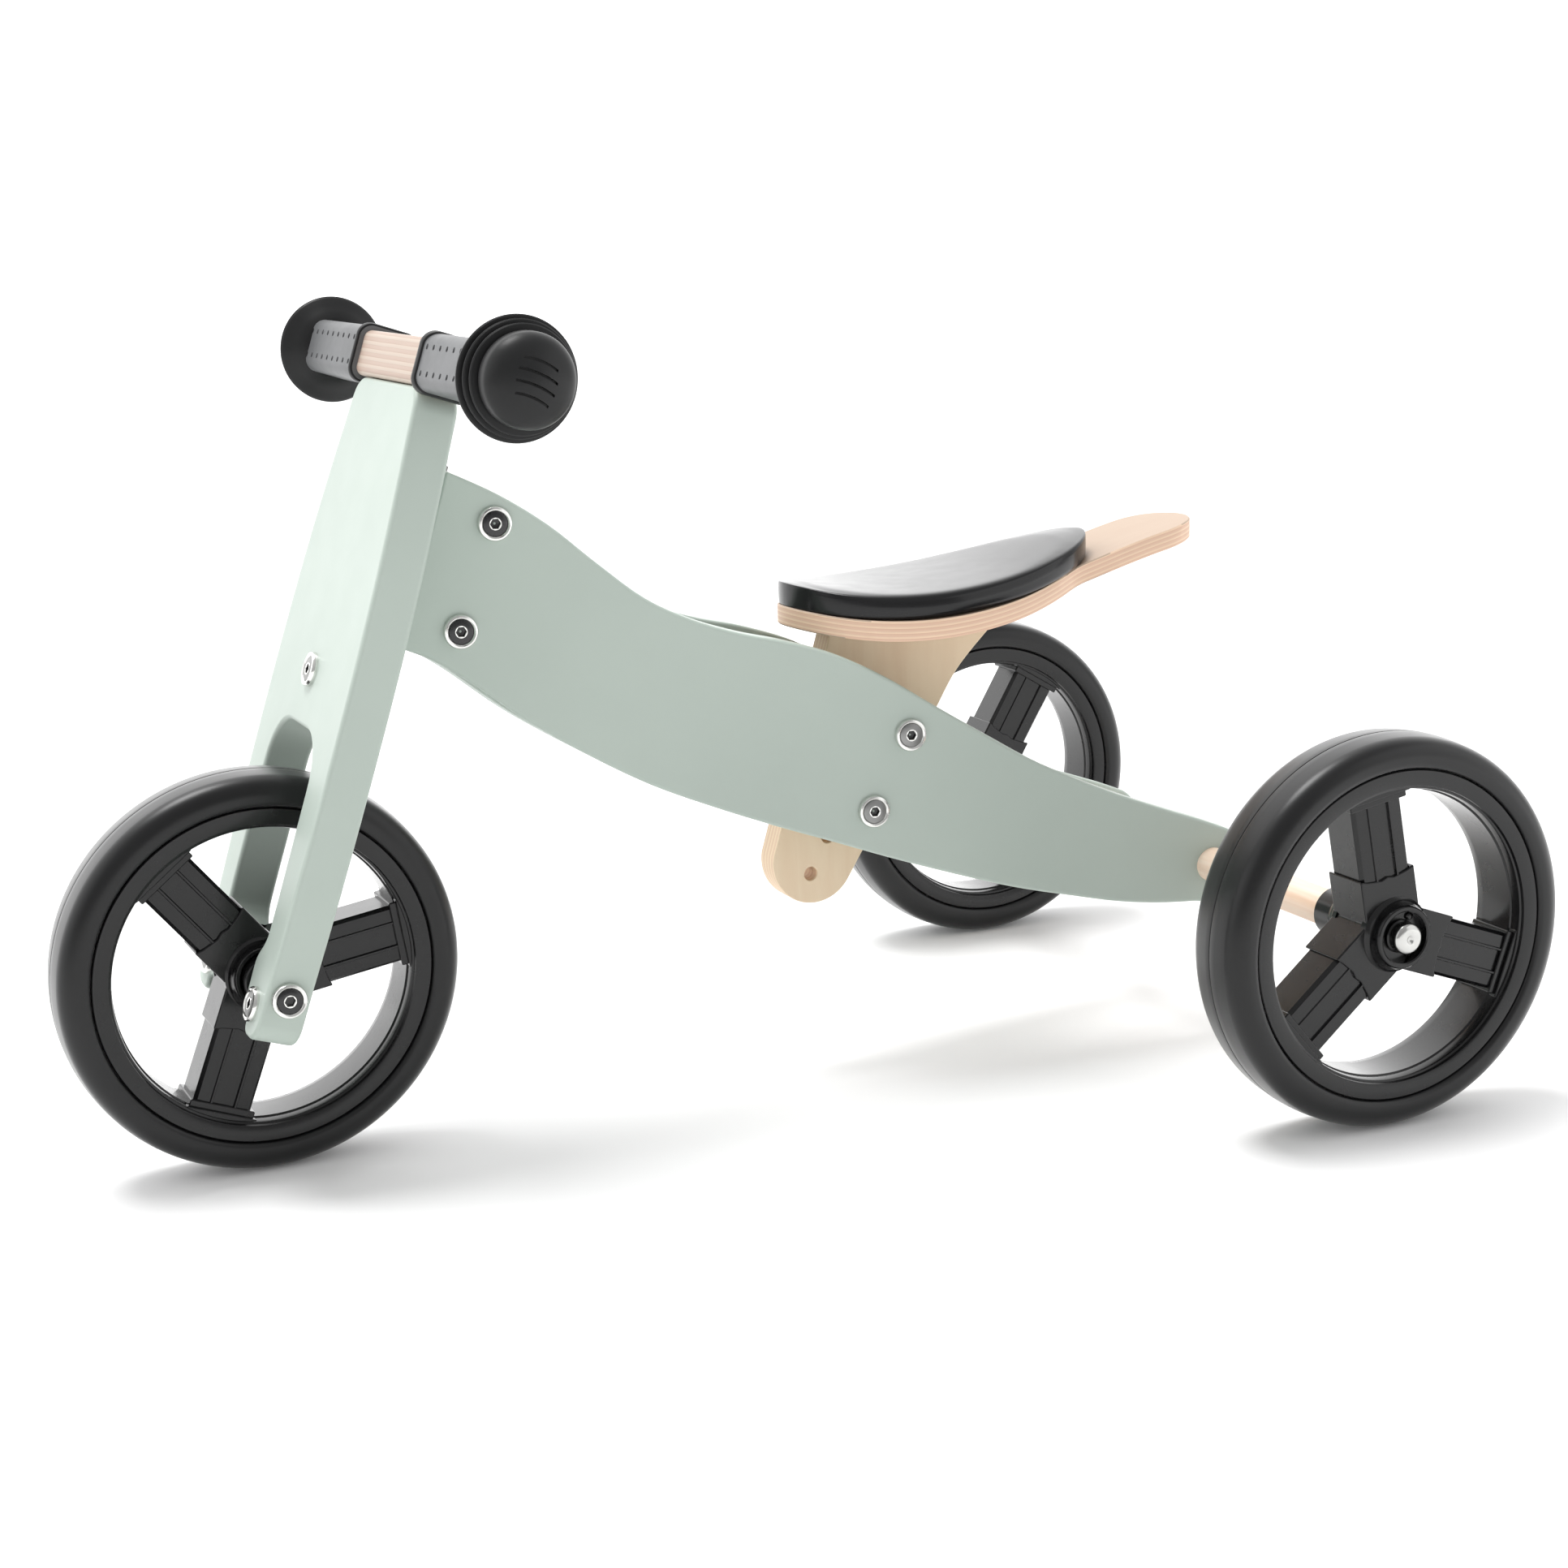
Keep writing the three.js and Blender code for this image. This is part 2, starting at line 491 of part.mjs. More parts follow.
// A spacer tube between the post and one panel, cut to the panel's slope.
function postSpacer(side, { x, z }) {
  const near = POST.thickness / 2 + FIT_GAP;
  const tube = cut(solid(rod('y', 9, near, 60, x, z, FACETS.medium)), rod('y', SLEEVE_RADIUS + FIT_GAP, 0, 90, x, z));
  const inner = (at) => panelInner(at) - FIT_GAP;
  const plan = new THREE.Shape([new THREE.Vector2(0, 0), new THREE.Vector2(140, 0),
    new THREE.Vector2(140, inner(140)), new THREE.Vector2(0, inner(0))]);
  const shape = tube.intersect(solid(placed(extrude(plan, 400, TO_Z), 0, 0, 200)));
  return side > 0 ? shape : shape.mirror([0, 1, 0]);
}

// ---------- wheels ----------
// Turned with one flat facet square to the floor, so the faceted tyre stands at its full radius.
const wheelTurned = (profile) => turned(profile, FACETS.wheel).rotateY(Math.PI / FACETS.wheel);

function tyre() {
  const { halfWidth: w, seatRadius, shoulder } = TYRE;
  const radius = TYRE.radius / Math.cos(Math.PI / FACETS.wheel);
  const shoulders = [];
  for (let i = 0; i <= 3; i += 1) {
    const a = (Math.PI / 2) * (i / 3);
    shoulders.push([radius - shoulder + shoulder * Math.sin(a), w - shoulder + shoulder * Math.cos(a)]);
  }
  const outer = [[seatRadius, w - 1], ...shoulders];
  const mirrored = outer.slice().reverse().map(([r, y]) => [r, -y]);
  return wheelTurned([...outer, ...mirrored, outer[0]]);
}

function spokeArm(angle, width, depth, from, to) {
  return box(-width / 2, width / 2, -depth / 2, depth / 2, from, to).rotateY(angle);
}

function wheelRim(turn) {
  const { innerRadius, halfWidth: w } = RIM;
  const outer = TYRE.seatRadius - FIT_GAP;
  const ring = [[innerRadius, w], [outer, w], [outer, -w], [innerRadius, -w], [innerRadius, w]];
  const hub = rod('y', HUB.radius, -HUB.halfLength, HUB.halfLength, 0, 0, FACETS.medium);
  let body = join(solid(wheelTurned(ring)), hub);
  for (let i = 0; i < SPOKE.count; i += 1) {
    const angle = turn + (i * 2 * Math.PI) / SPOKE.count;
    body = join(body, spokeArm(angle, SPOKE.width, SPOKE.depth, 0, innerRadius + 2),
      spokeArm(angle, SPOKE.collarWidth, SPOKE.collarDepth, 0, HUB.sleeveReach),
      spokeArm(angle, SPOKE.collarWidth, SPOKE.collarDepth, innerRadius - 8, innerRadius + 2));
  }
  const bores = [rod('y', BUSH.radius + FIT_GAP, -40, 40, 0, 0, FACETS.medium)];
  for (const side of [-1, 1]) {
    const mouth = HUB.halfLength - HUB.recessDepth;
    bores.push(rod('y', HUB.recessRadius, side < 0 ? -40 : mouth, side < 0 ? -mouth : 40, 0, 0, FACETS.medium));
  }
  return cut(body, ...bores);
}

// A flanged bush pressed into one end of the hub; its flange lies in the recess.
function bush() {
  const end = HUB.halfLength - HUB.recessDepth;
  const bore = AXLE_RADIUS + FIT_GAP;
  return turned([[bore, end - BUSH.length], [BUSH.radius, end - BUSH.length], [BUSH.radius, end + FIT_GAP],
    [10, end + FIT_GAP], [10, end + 1.5], [bore, end + 1.5], [bore, end - BUSH.length]]);
}

function wheel(prefix, turn) {
  const group = new THREE.Group();
  group.add(node(`${prefix}_tyre`, tyre(), TYRE_FOAM));
  group.add(node(`${prefix}_rim`, wheelRim(turn), BLACK_PLASTIC));
  for (const [name, angle] of [['left', Math.PI], ['right', 0]]) {
    const mesh = node(`${prefix}_bush_${name}`, bush(), BLACK_PLASTIC);
    mesh.rotation.z = angle;
    group.add(mesh);
  }
  return group;
}

// How far round each wheel stands, measured from a spoke pointing straight up.
const FRONT_TURN = THREE.MathUtils.degToRad(81);
const REAR_TURN = { left: THREE.MathUtils.degToRad(110), right: THREE.MathUtils.degToRad(31) };

// ---------- rear axle ----------
const HUB_MOUTH = HUB.halfLength - HUB.recessDepth + 1.5;      // outer face of a bush, from the wheel's middle
const REAR_SPACER = { radius: 12, length: 13 };
const WHEEL_INNER = TRACK / 2 - HUB_MOUTH;
const DOWEL_END = WHEEL_INNER - REAR_SPACER.length;

function rearDowel() {
  const body = solid(rod('y', DOWEL_RADIUS, -DOWEL_END, DOWEL_END, 0, 0, FACETS.medium));
  const bore = AXLE_RADIUS + FIT_GAP;
  return cut(body, rod('y', bore, -DOWEL_END - 1, 40 - DOWEL_END, 0, 0),
    rod('y', bore, DOWEL_END - 40, DOWEL_END + 1, 0, 0));
}

// A black spacer cap over the dowel's end; the wheel's bush runs against it. Written for +Y.
function rearSpacer() {
  const from = DOWEL_END - 5;
  const to = WHEEL_INNER - FIT_GAP;
  const bore = AXLE_RADIUS + FIT_GAP;
  return turned([[bore, DOWEL_END + FIT_GAP], [DOWEL_RADIUS + FIT_GAP, DOWEL_END + FIT_GAP],
    [DOWEL_RADIUS + FIT_GAP, from], [REAR_SPACER.radius, from], [REAR_SPACER.radius, to - 4], [9.5, to], [bore, to],
    [bore, DOWEL_END + FIT_GAP]]);
}

// The bolt that a rear wheel turns on; it screws into the dowel's end. Written for +Y.
function wheelBolt() {
  const outer = TRACK / 2 + HUB_MOUTH + FIT_GAP;
  return turned([[0, outer + 6], [3.5, outer + 5.6], [6.5, outer + 4], [7.5, outer + 2], [7.5, outer],
    [AXLE_RADIUS, outer], [AXLE_RADIUS, DOWEL_END - 36], [0, DOWEL_END - 36]]);
}

// ---------- assembly ----------
const bike = new THREE.Group();

const frame = new THREE.Group();
frame.add(node('left_panel', sidePanel(-1), SAGE));
frame.add(node('right_panel', sidePanel(1), SAGE));
frame.add(node('head_block', headBlock(), SAGE));
for (const bolt of HEAD_BOLTS) crossBolt('head', bolt, BLACK_BOLT, frame);
for (const bolt of POST_BOLTS) {
  crossBolt('post', bolt, NICKEL, frame);
  frame.add(node(`post_spacer_${bolt.name}_left`, postSpacer(-1, bolt), BLACK_PLASTIC));
  frame.add(node(`post_spacer_${bolt.name}_right`, postSpacer(1, bolt), BLACK_PLASTIC));
}
frame.add(node('seat_post', seatPost(), PLY));
frame.add(node('seat_board', seatBoard(), PLY));
frame.add(node('seat_pad', seatPad(), VINYL));
frame.add(node('seat_screw_front', seatScrewAt(SEAT_SCREWS[0]), NICKEL));
frame.add(node('seat_screw_rear', seatScrewAt(SEAT_SCREWS[1]), NICKEL));
bike.add(frame);

const rear = new THREE.Group();
rear.position.copy(REAR_AXLE);
rear.add(node('rear_axle_dowel', rearDowel(), PLY));
for (const [name, side] of [['left', -1], ['right', 1]]) {
  const spacer = node(`rear_spacer_${name}`, rearSpacer(), BLACK_PLASTIC);
  const bolt = node(`rear_wheel_bolt_${name}`, wheelBolt(), NICKEL);
  for (const mesh of [spacer, bolt]) {
    mesh.rotation.z = side < 0 ? Math.PI : 0;
    rear.add(mesh);
  }
  const rearWheel = wheel(`rear_${name}`, REAR_TURN[name]);
  rearWheel.position.y = side * TRACK / 2;
  rear.add(rearWheel);
}
bike.add(rear);

const steered = new THREE.Group();
steered.position.copy(FRONT_AXLE);
steered.rotation.y = RAKE;
steered.add(node('steering_pin', steeringPin(), NICKEL).translateX(STEER_AXIS));
steered.add(node('hinge_leaf', hingeLeaf(), NICKEL));
steered.add(node('fork', fork(), SAGE));
steered.add(node('handlebar', handlebar(), PLY));
steered.add(gripMesh('grip_left', -1), gripMesh('grip_right', 1));

const hingeBolt = node('hinge_bolt', headBolt(BOLT_RADIUS, FORK.thickness + FIT_GAP), NICKEL);
hingeBolt.position.set(-FORK.thickness / 2 - FIT_GAP, 0, HINGE_BOLT_UP);
hingeBolt.rotation.z = -Math.PI / 2;
steered.add(hingeBolt);
for (const [i, up] of HINGE_SCREWS_UP.entries()) {
  const screwShape = headBolt(2.5, 14, { radius: 5, height: 2, socket: 1.8, socketDepth: 1.2 });
  const screw = node(`hinge_screw_${['lower', 'upper'][i]}`, screwShape, NICKEL);
  screw.position.set(FORK.thickness / 2 + FIT_GAP, 0, up);
  screw.rotation.z = Math.PI / 2;
  steered.add(screw);
}
for (const [name, side] of [['left', -1], ['right', 1]]) {
  const bolt = node(`leg_bolt_${name}`, headBolt(BOLT_RADIUS, LEG_BOLT.length), NICKEL);
  bolt.position.set(-FORK.thickness / 2 - FIT_GAP, side * LEG_BOLT.across, LEG_BOLT.up);
  bolt.rotation.z = -Math.PI / 2;
  steered.add(bolt, node(`bar_screw_${name}`, barScrewAt(side), NICKEL));
}
bike.add(steered);

// The front axle: a long bolt from the left leg, a sleeve nut in the right leg, two spacers and the wheel.
const LEG_OUTER = 60.5;
const front = new THREE.Group();
front.position.copy(FRONT_AXLE);
front.add(node('front_axle_bolt', headBolt(AXLE_RADIUS - 0.7, 2 * LEG_OUTER - 8), BLACK_BOLT).translateY(-LEG_OUTER));
const axleNut = node('front_axle_nut', sleeveNut(16), BLACK_BOLT);
axleNut.position.y = LEG_OUTER;
axleNut.rotation.z = Math.PI;
front.add(axleNut);
for (const [name, side] of [['left', -1], ['right', 1]]) {
  const bore = AXLE_RADIUS + FIT_GAP;
  const from = HUB_MOUTH + FIT_GAP;
  const to = SLOT.bossHalfWidth - FIT_GAP;
  const spacer = turned([[bore, from], [9.5, from], [12, from + 3], [12, to], [bore, to], [bore, from]]);
  const mesh = node(`front_spacer_${name}`, spacer, BLACK_PLASTIC);
  mesh.rotation.z = side < 0 ? Math.PI : 0;
  front.add(mesh);
}
front.add(wheel('front', FRONT_TURN));
bike.add(front);

export default bike;
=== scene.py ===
# Looks of the three-wheeled wooden balance bike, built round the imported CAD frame.
# Metres, +Z up, the bike faces -X.
import math

import bmesh
import bpy
from mathutils import Matrix, Vector


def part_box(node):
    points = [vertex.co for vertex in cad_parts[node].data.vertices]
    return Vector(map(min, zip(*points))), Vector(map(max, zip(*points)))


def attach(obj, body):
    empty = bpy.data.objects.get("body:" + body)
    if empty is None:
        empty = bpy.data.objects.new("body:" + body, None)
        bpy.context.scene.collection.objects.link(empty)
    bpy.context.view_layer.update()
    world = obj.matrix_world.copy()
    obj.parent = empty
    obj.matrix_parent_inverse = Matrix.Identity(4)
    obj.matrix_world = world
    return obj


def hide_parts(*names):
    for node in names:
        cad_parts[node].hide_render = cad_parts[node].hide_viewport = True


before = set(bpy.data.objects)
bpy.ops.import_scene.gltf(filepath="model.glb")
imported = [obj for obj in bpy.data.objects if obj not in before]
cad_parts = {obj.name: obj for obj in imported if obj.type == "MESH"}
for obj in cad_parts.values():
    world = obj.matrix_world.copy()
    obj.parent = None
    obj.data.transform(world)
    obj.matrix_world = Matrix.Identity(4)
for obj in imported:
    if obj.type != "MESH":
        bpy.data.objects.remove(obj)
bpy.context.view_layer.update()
MM = 0.001

# ---------- places and driving sizes, read from the frame ----------


def centre(node):
    low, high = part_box(node)
    return (low + high) / 2


def size(node):
    low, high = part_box(node)
    return high - low


RAKE = math.radians(18.5)
FRONT_HUB = centre("front_tyre")
HUBS = {"front": FRONT_HUB, "rear_left": centre("rear_left_tyre"), "rear_right": centre("rear_right_tyre")}
WHEEL_BODY = {"front": "front_wheel", "rear_left": "rear_left_wheel", "rear_right": "rear_right_wheel"}
TYRE_RADIUS = size("front_tyre").z / 2
TYRE_HALF_WIDTH = size("front_tyre").y / 2
RIM_RADIUS = 79.7 * MM
WHEEL_TURN = {"front": math.radians(81), "rear_left": math.radians(110), "rear_right": math.radians(31)}

# The fork's own frame: x back, y across, z up the fork, from the front axle.
HEAD = Matrix.Translation(FRONT_HUB) @ Matrix.Rotation(RAKE, 4, "Y")
FORK_THICKNESS = 21 * MM
PANEL_THICKNESS = 12 * MM
PANEL_SPLAY = 0.0925
PANEL_HALF_WIDTH = 58 * MM
REAR_AXLE = Vector((HUBS["rear_left"].x, 0, HUBS["rear_left"].z))


def in_metres(points):
    return [(a * MM, b * MM) for a, b in points]


def head_point(back, across, up):
    """A point given in the fork's own frame."""
    return HEAD @ Vector((back, across, up))


def panel_outer(x):
    """Distance of a panel's outer face from the middle plane, at x."""
    return PANEL_HALF_WIDTH + PANEL_SPLAY * (x - REAR_AXLE.x)


# ---------- node materials ----------


class Shader:
    """A Principled material under construction, with short ways to add and join nodes."""

    def __init__(self, name, color, roughness, metallic=0.0, specular=0.5):
        self.material = bpy.data.materials.new(name)
        self.material.use_nodes = True
        self.nodes = self.material.node_tree.nodes
        self.links = self.material.node_tree.links
        self.bsdf = self.nodes["Principled BSDF"]
        self.fixed({"Base Color": (*color, 1), "Roughness": roughness, "Metallic": metallic,
                    "Specular IOR Level": specular})
        self.place = self.add("ShaderNodeTexCoord").outputs["Object"]

    def add(self, kind, **settings):
        node = self.nodes.new(kind)
        for key, value in settings.items():
            setattr(node, key, value)
        return node

    def join(self, output, target):
        self.links.new(output, target)

    def scaled(self, scale, rotation=(0, 0, 0)):
        mapping = self.add("ShaderNodeMapping")
        mapping.inputs["Scale"].default_value = scale
        mapping.inputs["Rotation"].default_value = rotation
        self.join(self.place, mapping.inputs["Vector"])
        return mapping.outputs["Vector"]

    def noise(self, scale, detail=4.0, stretch=(1, 1, 1), distortion=0.0):
        node = self.add("ShaderNodeTexNoise")
        node.inputs["Scale"].default_value = scale
        node.inputs["Detail"].default_value = detail
        node.inputs["Distortion"].default_value = distortion
        self.join(self.scaled(stretch), node.inputs["Vector"])
        return node.outputs["Fac"]

    def math(self, operation, a, b=0.0, c=0.0):
        node = self.add("ShaderNodeMath", operation=operation)
        for socket, value in zip(node.inputs, (a, b, c)):
            if isinstance(value, (int, float)):
                socket.default_value = value
            else:
                self.join(value, socket)
        return node.outputs[0]

    def ramp(self, factor, *stops):
        node = self.add("ShaderNodeValToRGB")
        ramp = node.color_ramp
        while len(ramp.elements) < len(stops):
            ramp.elements.new(0.5)
        for element, (position, color) in zip(ramp.elements, stops):
            element.position = position
            element.color = (*color, 1) if isinstance(color, tuple) else (color, color, color, 1)
        self.join(factor, node.inputs["Fac"])
        return node.outputs["Color"]

    def mix(self, factor, a, b):
        node = self.add("ShaderNodeMix", data_type="RGBA")
        for socket, value in zip((node.inputs["Factor"], node.inputs["A"], node.inputs["B"]), (factor, a, b)):
            self.feed(socket, value)
        return node.outputs["Result"]

    def feed(self, socket, value):
        if isinstance(value, tuple):
            socket.default_value = (*value, 1)
        elif isinstance(value, (int, float)):
            socket.default_value = value
        else:
            self.join(value, socket)

    def color(self, output):
        self.join(output, self.bsdf.inputs["Base Color"])

    def roughness(self, factor, low, high):
        node = self.add("ShaderNodeMapRange")
        node.inputs["To Min"].default_value = low
        node.inputs["To Max"].default_value = high
        self.join(factor, node.inputs["Value"])
        self.join(node.outputs["Result"], self.bsdf.inputs["Roughness"])

    def bump(self, height, strength, distance):
        node = self.add("ShaderNodeBump")
        node.inputs["Strength"].default_value = strength
        node.inputs["Distance"].default_value = distance
        self.join(height, node.inputs["Height"])
        before = self.bsdf.inputs["Normal"].links
        if before:
            self.join(before[0].from_socket, node.inputs["Normal"])
        self.join(node.outputs["Normal"], self.bsdf.inputs["Normal"])

    def attribute(self, name):
        return self.add("ShaderNodeAttribute", attribute_name=name).outputs["Fac"]

    def mottle(self, scale, detail, dark, light):
        """A colour that drifts between two close shades."""
        self.color(self.ramp(self.noise(scale, detail), (0.3, dark), (0.7, light)))

    def fixed(self, values):
        """Values that are the same all over, set on the shader's own sockets."""
        for socket, value in values.items():
            self.bsdf.inputs[socket].default_value = value


def sage_paint():
    s = Shader("sage_paint", (0.447, 0.515, 0.465), 0.42, specular=0.4)
    s.mottle(9, 3, (0.435, 0.501, 0.453), (0.459, 0.528, 0.477))
    s.roughness(s.noise(60, 5), 0.34, 0.5)
    s.bump(s.noise(420, 3), 0.05, 0.4 * MM)
    s.bump(s.noise(26, 4, (0.35, 1.5, 1.5)), 0.06, 1 * MM)
    return s.material


PALE_BIRCH = (0.78, 0.64, 0.50)
WARM_BIRCH = (0.72, 0.555, 0.415)
DARK_PLY = (0.60, 0.39, 0.27)


def birch(name, grain, plies, tone=(1.0, 1.0, 1.0), face_tone=1.0):
    """Plywood: face veneer with grain along one axis, and bands of plies on the cut edges.

    grain stretches the noise, plies counts the layers, and the tones tint the whole and the faces."""

    def tint(color):
        return tuple(c * t for c, t in zip(color, tone))

    def veneer(color):
        return tuple(c * face_tone for c in tint(color))

    s = Shader(name, tint(PALE_BIRCH), 0.5, specular=0.35)
    fibre = s.noise(70, 6, grain, 0.4)
    cloud = s.noise(10, 2, grain)
    streaks = s.ramp(fibre, (0.3, veneer(WARM_BIRCH)), (0.62, veneer(PALE_BIRCH)))
    face = s.mix(s.math("MULTIPLY", cloud, 0.6), streaks, veneer((0.83, 0.70, 0.56)))
    depth = s.attribute("ply_depth")
    wobble = s.math("MULTIPLY", s.math("SUBTRACT", s.noise(30, 3), 0.5), 0.02)
    layer = s.math("MULTIPLY", s.math("ADD", depth, wobble), float(plies))
    wave = s.math("FRACT", s.math("MULTIPLY", layer, 0.5))
    stops = [(0.0, PALE_BIRCH), (0.42, (0.88, 0.72, 0.55)), (0.49, DARK_PLY), (0.55, (0.71, 0.50, 0.38)),
             (0.93, (0.74, 0.54, 0.41)), (1.0, DARK_PLY)]
    band = s.ramp(wave, *[(position, tint(color)) for position, color in stops])
    speckle = s.noise(260, 5, grain)
    edge = s.mix(s.math("MULTIPLY", speckle, 0.7), band, tint(WARM_BIRCH))
    on_edge = s.attribute("ply_edge")
    s.color(s.mix(on_edge, face, edge))
    s.roughness(fibre, 0.42, 0.6)
    s.bump(fibre, 0.12, 0.4 * MM)
    s.bump(s.math("MULTIPLY", wave, on_edge), 0.15, 0.3 * MM)
    return s.material


def dowel_wood():
    s = Shader("dowel_wood", PALE_BIRCH, 0.5, specular=0.35)
    fibre = s.noise(60, 6, (3.0, 0.12, 3.0), 0.3)
    s.color(s.ramp(fibre, (0.3, (0.80, 0.57, 0.41)), (0.5, (0.90, 0.70, 0.55)), (0.7, (0.95, 0.80, 0.66))))
    s.roughness(fibre, 0.4, 0.55)
    s.bump(fibre, 0.15, 0.3 * MM)
    return s.material


def vinyl():
    s = Shader("seat_vinyl", (0.006, 0.006, 0.0065), 0.24, specular=0.45)
    cells = s.add("ShaderNodeTexVoronoi", feature="DISTANCE_TO_EDGE")
    cells.inputs["Scale"].default_value = 900
    s.join(s.place, cells.inputs["Vector"])
    grain = s.math("MINIMUM", s.math("MULTIPLY", cells.outputs["Distance"], 3.0), 1.0)
    s.roughness(s.noise(90, 4), 0.18, 0.28)
    s.mottle(14, 3, (0.006, 0.006, 0.0065), (0.011, 0.011, 0.012))
    s.bump(grain, 0.04, 0.1 * MM)
    s.bump(s.noise(35, 3), 0.02, 0.5 * MM)
    s.fixed({"IOR": 1.36, "Coat Weight": 0.3, "Coat Roughness": 0.12, "Coat IOR": 1.36})
    return s.material


def grip_rubber(name, shade):
    s = Shader(name, (shade, shade, shade), 0.4, specular=0.45)
    low = (0.85 * shade, 0.87 * shade, 0.9 * shade)
    high = (1.15 * shade, 1.18 * shade, 1.22 * shade)
    s.mottle(20, 4, low, high)
    s.roughness(s.noise(150, 4), 0.32, 0.46)
    s.bump(s.noise(900, 3), 0.08, 0.15 * MM)
    s.fixed({"IOR": 1.36})
    return s.material


def tyre_foam():
    s = Shader("tyre_foam", (0.006, 0.006, 0.0065), 0.34, specular=0.5)
    s.mottle(16, 4, (0.0045, 0.0045, 0.005), (0.0075, 0.0075, 0.008))
    s.roughness(s.noise(70, 5), 0.28, 0.40)
    s.bump(s.noise(800, 3), 0.10, 0.2 * MM)
    s.bump(s.noise(50, 3), 0.05, 0.6 * MM)
    s.fixed({"IOR": 1.3, "Coat Weight": 0.8, "Coat Roughness": 0.34, "Coat IOR": 1.3,
             "Sheen Weight": 0.07, "Sheen Roughness": 0.3})
    return s.material


def moulded_black():
    s = Shader("black_plastic", (0.004, 0.004, 0.0045), 0.28, specular=0.38)
    s.mottle(25, 4, (0.003, 0.003, 0.0032), (0.006, 0.006, 0.0065))
    s.roughness(s.noise(120, 5), 0.2, 0.32)
    s.bump(s.noise(500, 2), 0.06, 0.2 * MM)
    s.fixed({"IOR": 1.36, "Coat Weight": 0.8, "Coat Roughness": 0.18, "Coat IOR": 1.32})
    return s.material


def plated(name, shade):
    s = Shader(name, (shade, shade, 0.97 * shade), 0.22, metallic=1.0)
    low = (0.92 * shade, 0.92 * shade, 0.89 * shade)
    high = (1.08 * shade, 1.08 * shade, 1.05 * shade)
    s.mottle(60, 3, low, high)
    s.roughness(s.noise(400, 4), 0.14, 0.3)
    s.bump(s.noise(1500, 2), 0.05, 0.05 * MM)
    return s.material


def satin_steel():
    s = Shader("satin_steel", (0.30, 0.30, 0.295), 0.38, metallic=1.0)
    s.mottle(80, 3, (0.24, 0.24, 0.236), (0.34, 0.34, 0.334))
    s.roughness(s.noise(500, 4), 0.3, 0.5)
    s.bump(s.noise(1800, 2), 0.08, 0.05 * MM)
    return s.material


# A black enamel, also laid on as painted shade in the hex sockets' pits and as a painted dark reflection on
# the head bolts' faces.
def black_enamel_and_painted_shade():
    s = Shader("black_enamel_and_painted_shade", (0.008, 0.008, 0.009), 0.25, specular=0.6)
    s.mottle(50, 3, (0.006, 0.006, 0.007), (0.012, 0.012, 0.013))
    s.roughness(s.noise(300, 4), 0.2, 0.34)
    return s.material


SAGE = sage_paint()
POST_PLY = birch("post_plywood", (1.6, 1.0, 0.25), 10, tone=(1.08, 1.06, 0.98))
BOARD_PLY = birch("board_plywood", (0.2, 1.6, 1.0), 8, tone=(1.04, 0.96, 0.93), face_tone=0.6)
BAR_PLY = birch("bar_plywood", (1.0, 0.15, 1.6), 12, tone=(0.66, 0.68, 0.74))
DOWEL = dowel_wood()
VINYL = vinyl()
GRIP = grip_rubber("grip_end_rubber", 0.013)
# The sleeve is the grip end's black rubber made ten times lighter, standing for the light it reflects:
# painted sheen.
SLEEVE_PAINTED_SHEEN = grip_rubber("grip_sleeve_rubber_painted_sheen", 0.13)
TYRE = tyre_foam()
BLACK = moulded_black()
NICKEL = plated("nickel", 0.76)
BOLT_STEEL = plated("bolt_steel", 0.52)
STEEL = satin_steel()
ENAMEL_AND_PAINTED_SHADE = black_enamel_and_painted_shade()

# ---------- mesh helpers ----------


def piece(name, vertices, faces, material):
    mesh = bpy.data.meshes.new(name)
    mesh.from_pydata([tuple(v) for v in vertices], [], faces)
    mesh.materials.append(material)
    return finished(name, mesh)


def finished(name, mesh, sharp=35):
    """An object with outward normals and smooth faces that keep their sharp edges."""
    b = bmesh.new()
    b.from_mesh(mesh)
    bmesh.ops.remove_doubles(b, verts=b.verts, dist=1e-6)
    bmesh.ops.recalc_face_normals(b, faces=b.faces)
    b.to_mesh(mesh)
    b.free()
    mesh.shade_smooth()
    mesh.set_sharp_from_angle(angle=math.radians(sharp))
    obj = bpy.data.objects.new(name, mesh)
    bpy.context.scene.collection.objects.link(obj)
    return obj


def applied(obj):
    """Bakes an object's modifiers into its mesh."""
    depsgraph = bpy.context.evaluated_depsgraph_get()
    depsgraph.update()
    evaluated = obj.evaluated_get(depsgraph)
    mesh = bpy.data.meshes.new_from_object(evaluated, preserve_all_data_layers=True, depsgraph=depsgraph)
    obj.modifiers.clear()
    old = obj.data
    obj.data = mesh
    bpy.data.meshes.remove(old)
    return obj


def eased(obj, width, segments=3, angle=40):
    """Rounds an object's sharp edges, with flat faces kept flat in the shading."""
    bevel = obj.modifiers.new("ease", "BEVEL")
    bevel.width = width
    bevel.segments = segments
    bevel.limit_method = "ANGLE"
    bevel.angle_limit = math.radians(angle)
    bevel.harden_normals = True
    bevel.use_clamp_overlap = False
    obj.data.shade_smooth()
    return applied(obj)


def carve(obj, *tools):
    """Cuts the tools' shapes out of an object and removes the tools."""
    for tool in tools:
        cut = obj.modifiers.new("cut", "BOOLEAN")
        cut.operation = "DIFFERENCE"
        cut.solver = "EXACT"
        cut.object = tool
    applied(obj)
    obj.data.shade_smooth()
    obj.data.set_sharp_from_angle(angle=math.radians(35))
    weighted = obj.modifiers.new("normals", "WEIGHTED_NORMAL")
    weighted.keep_sharp = True
    applied(obj)
    for tool in tools:
        bpy.data.objects.remove(tool)
    return obj


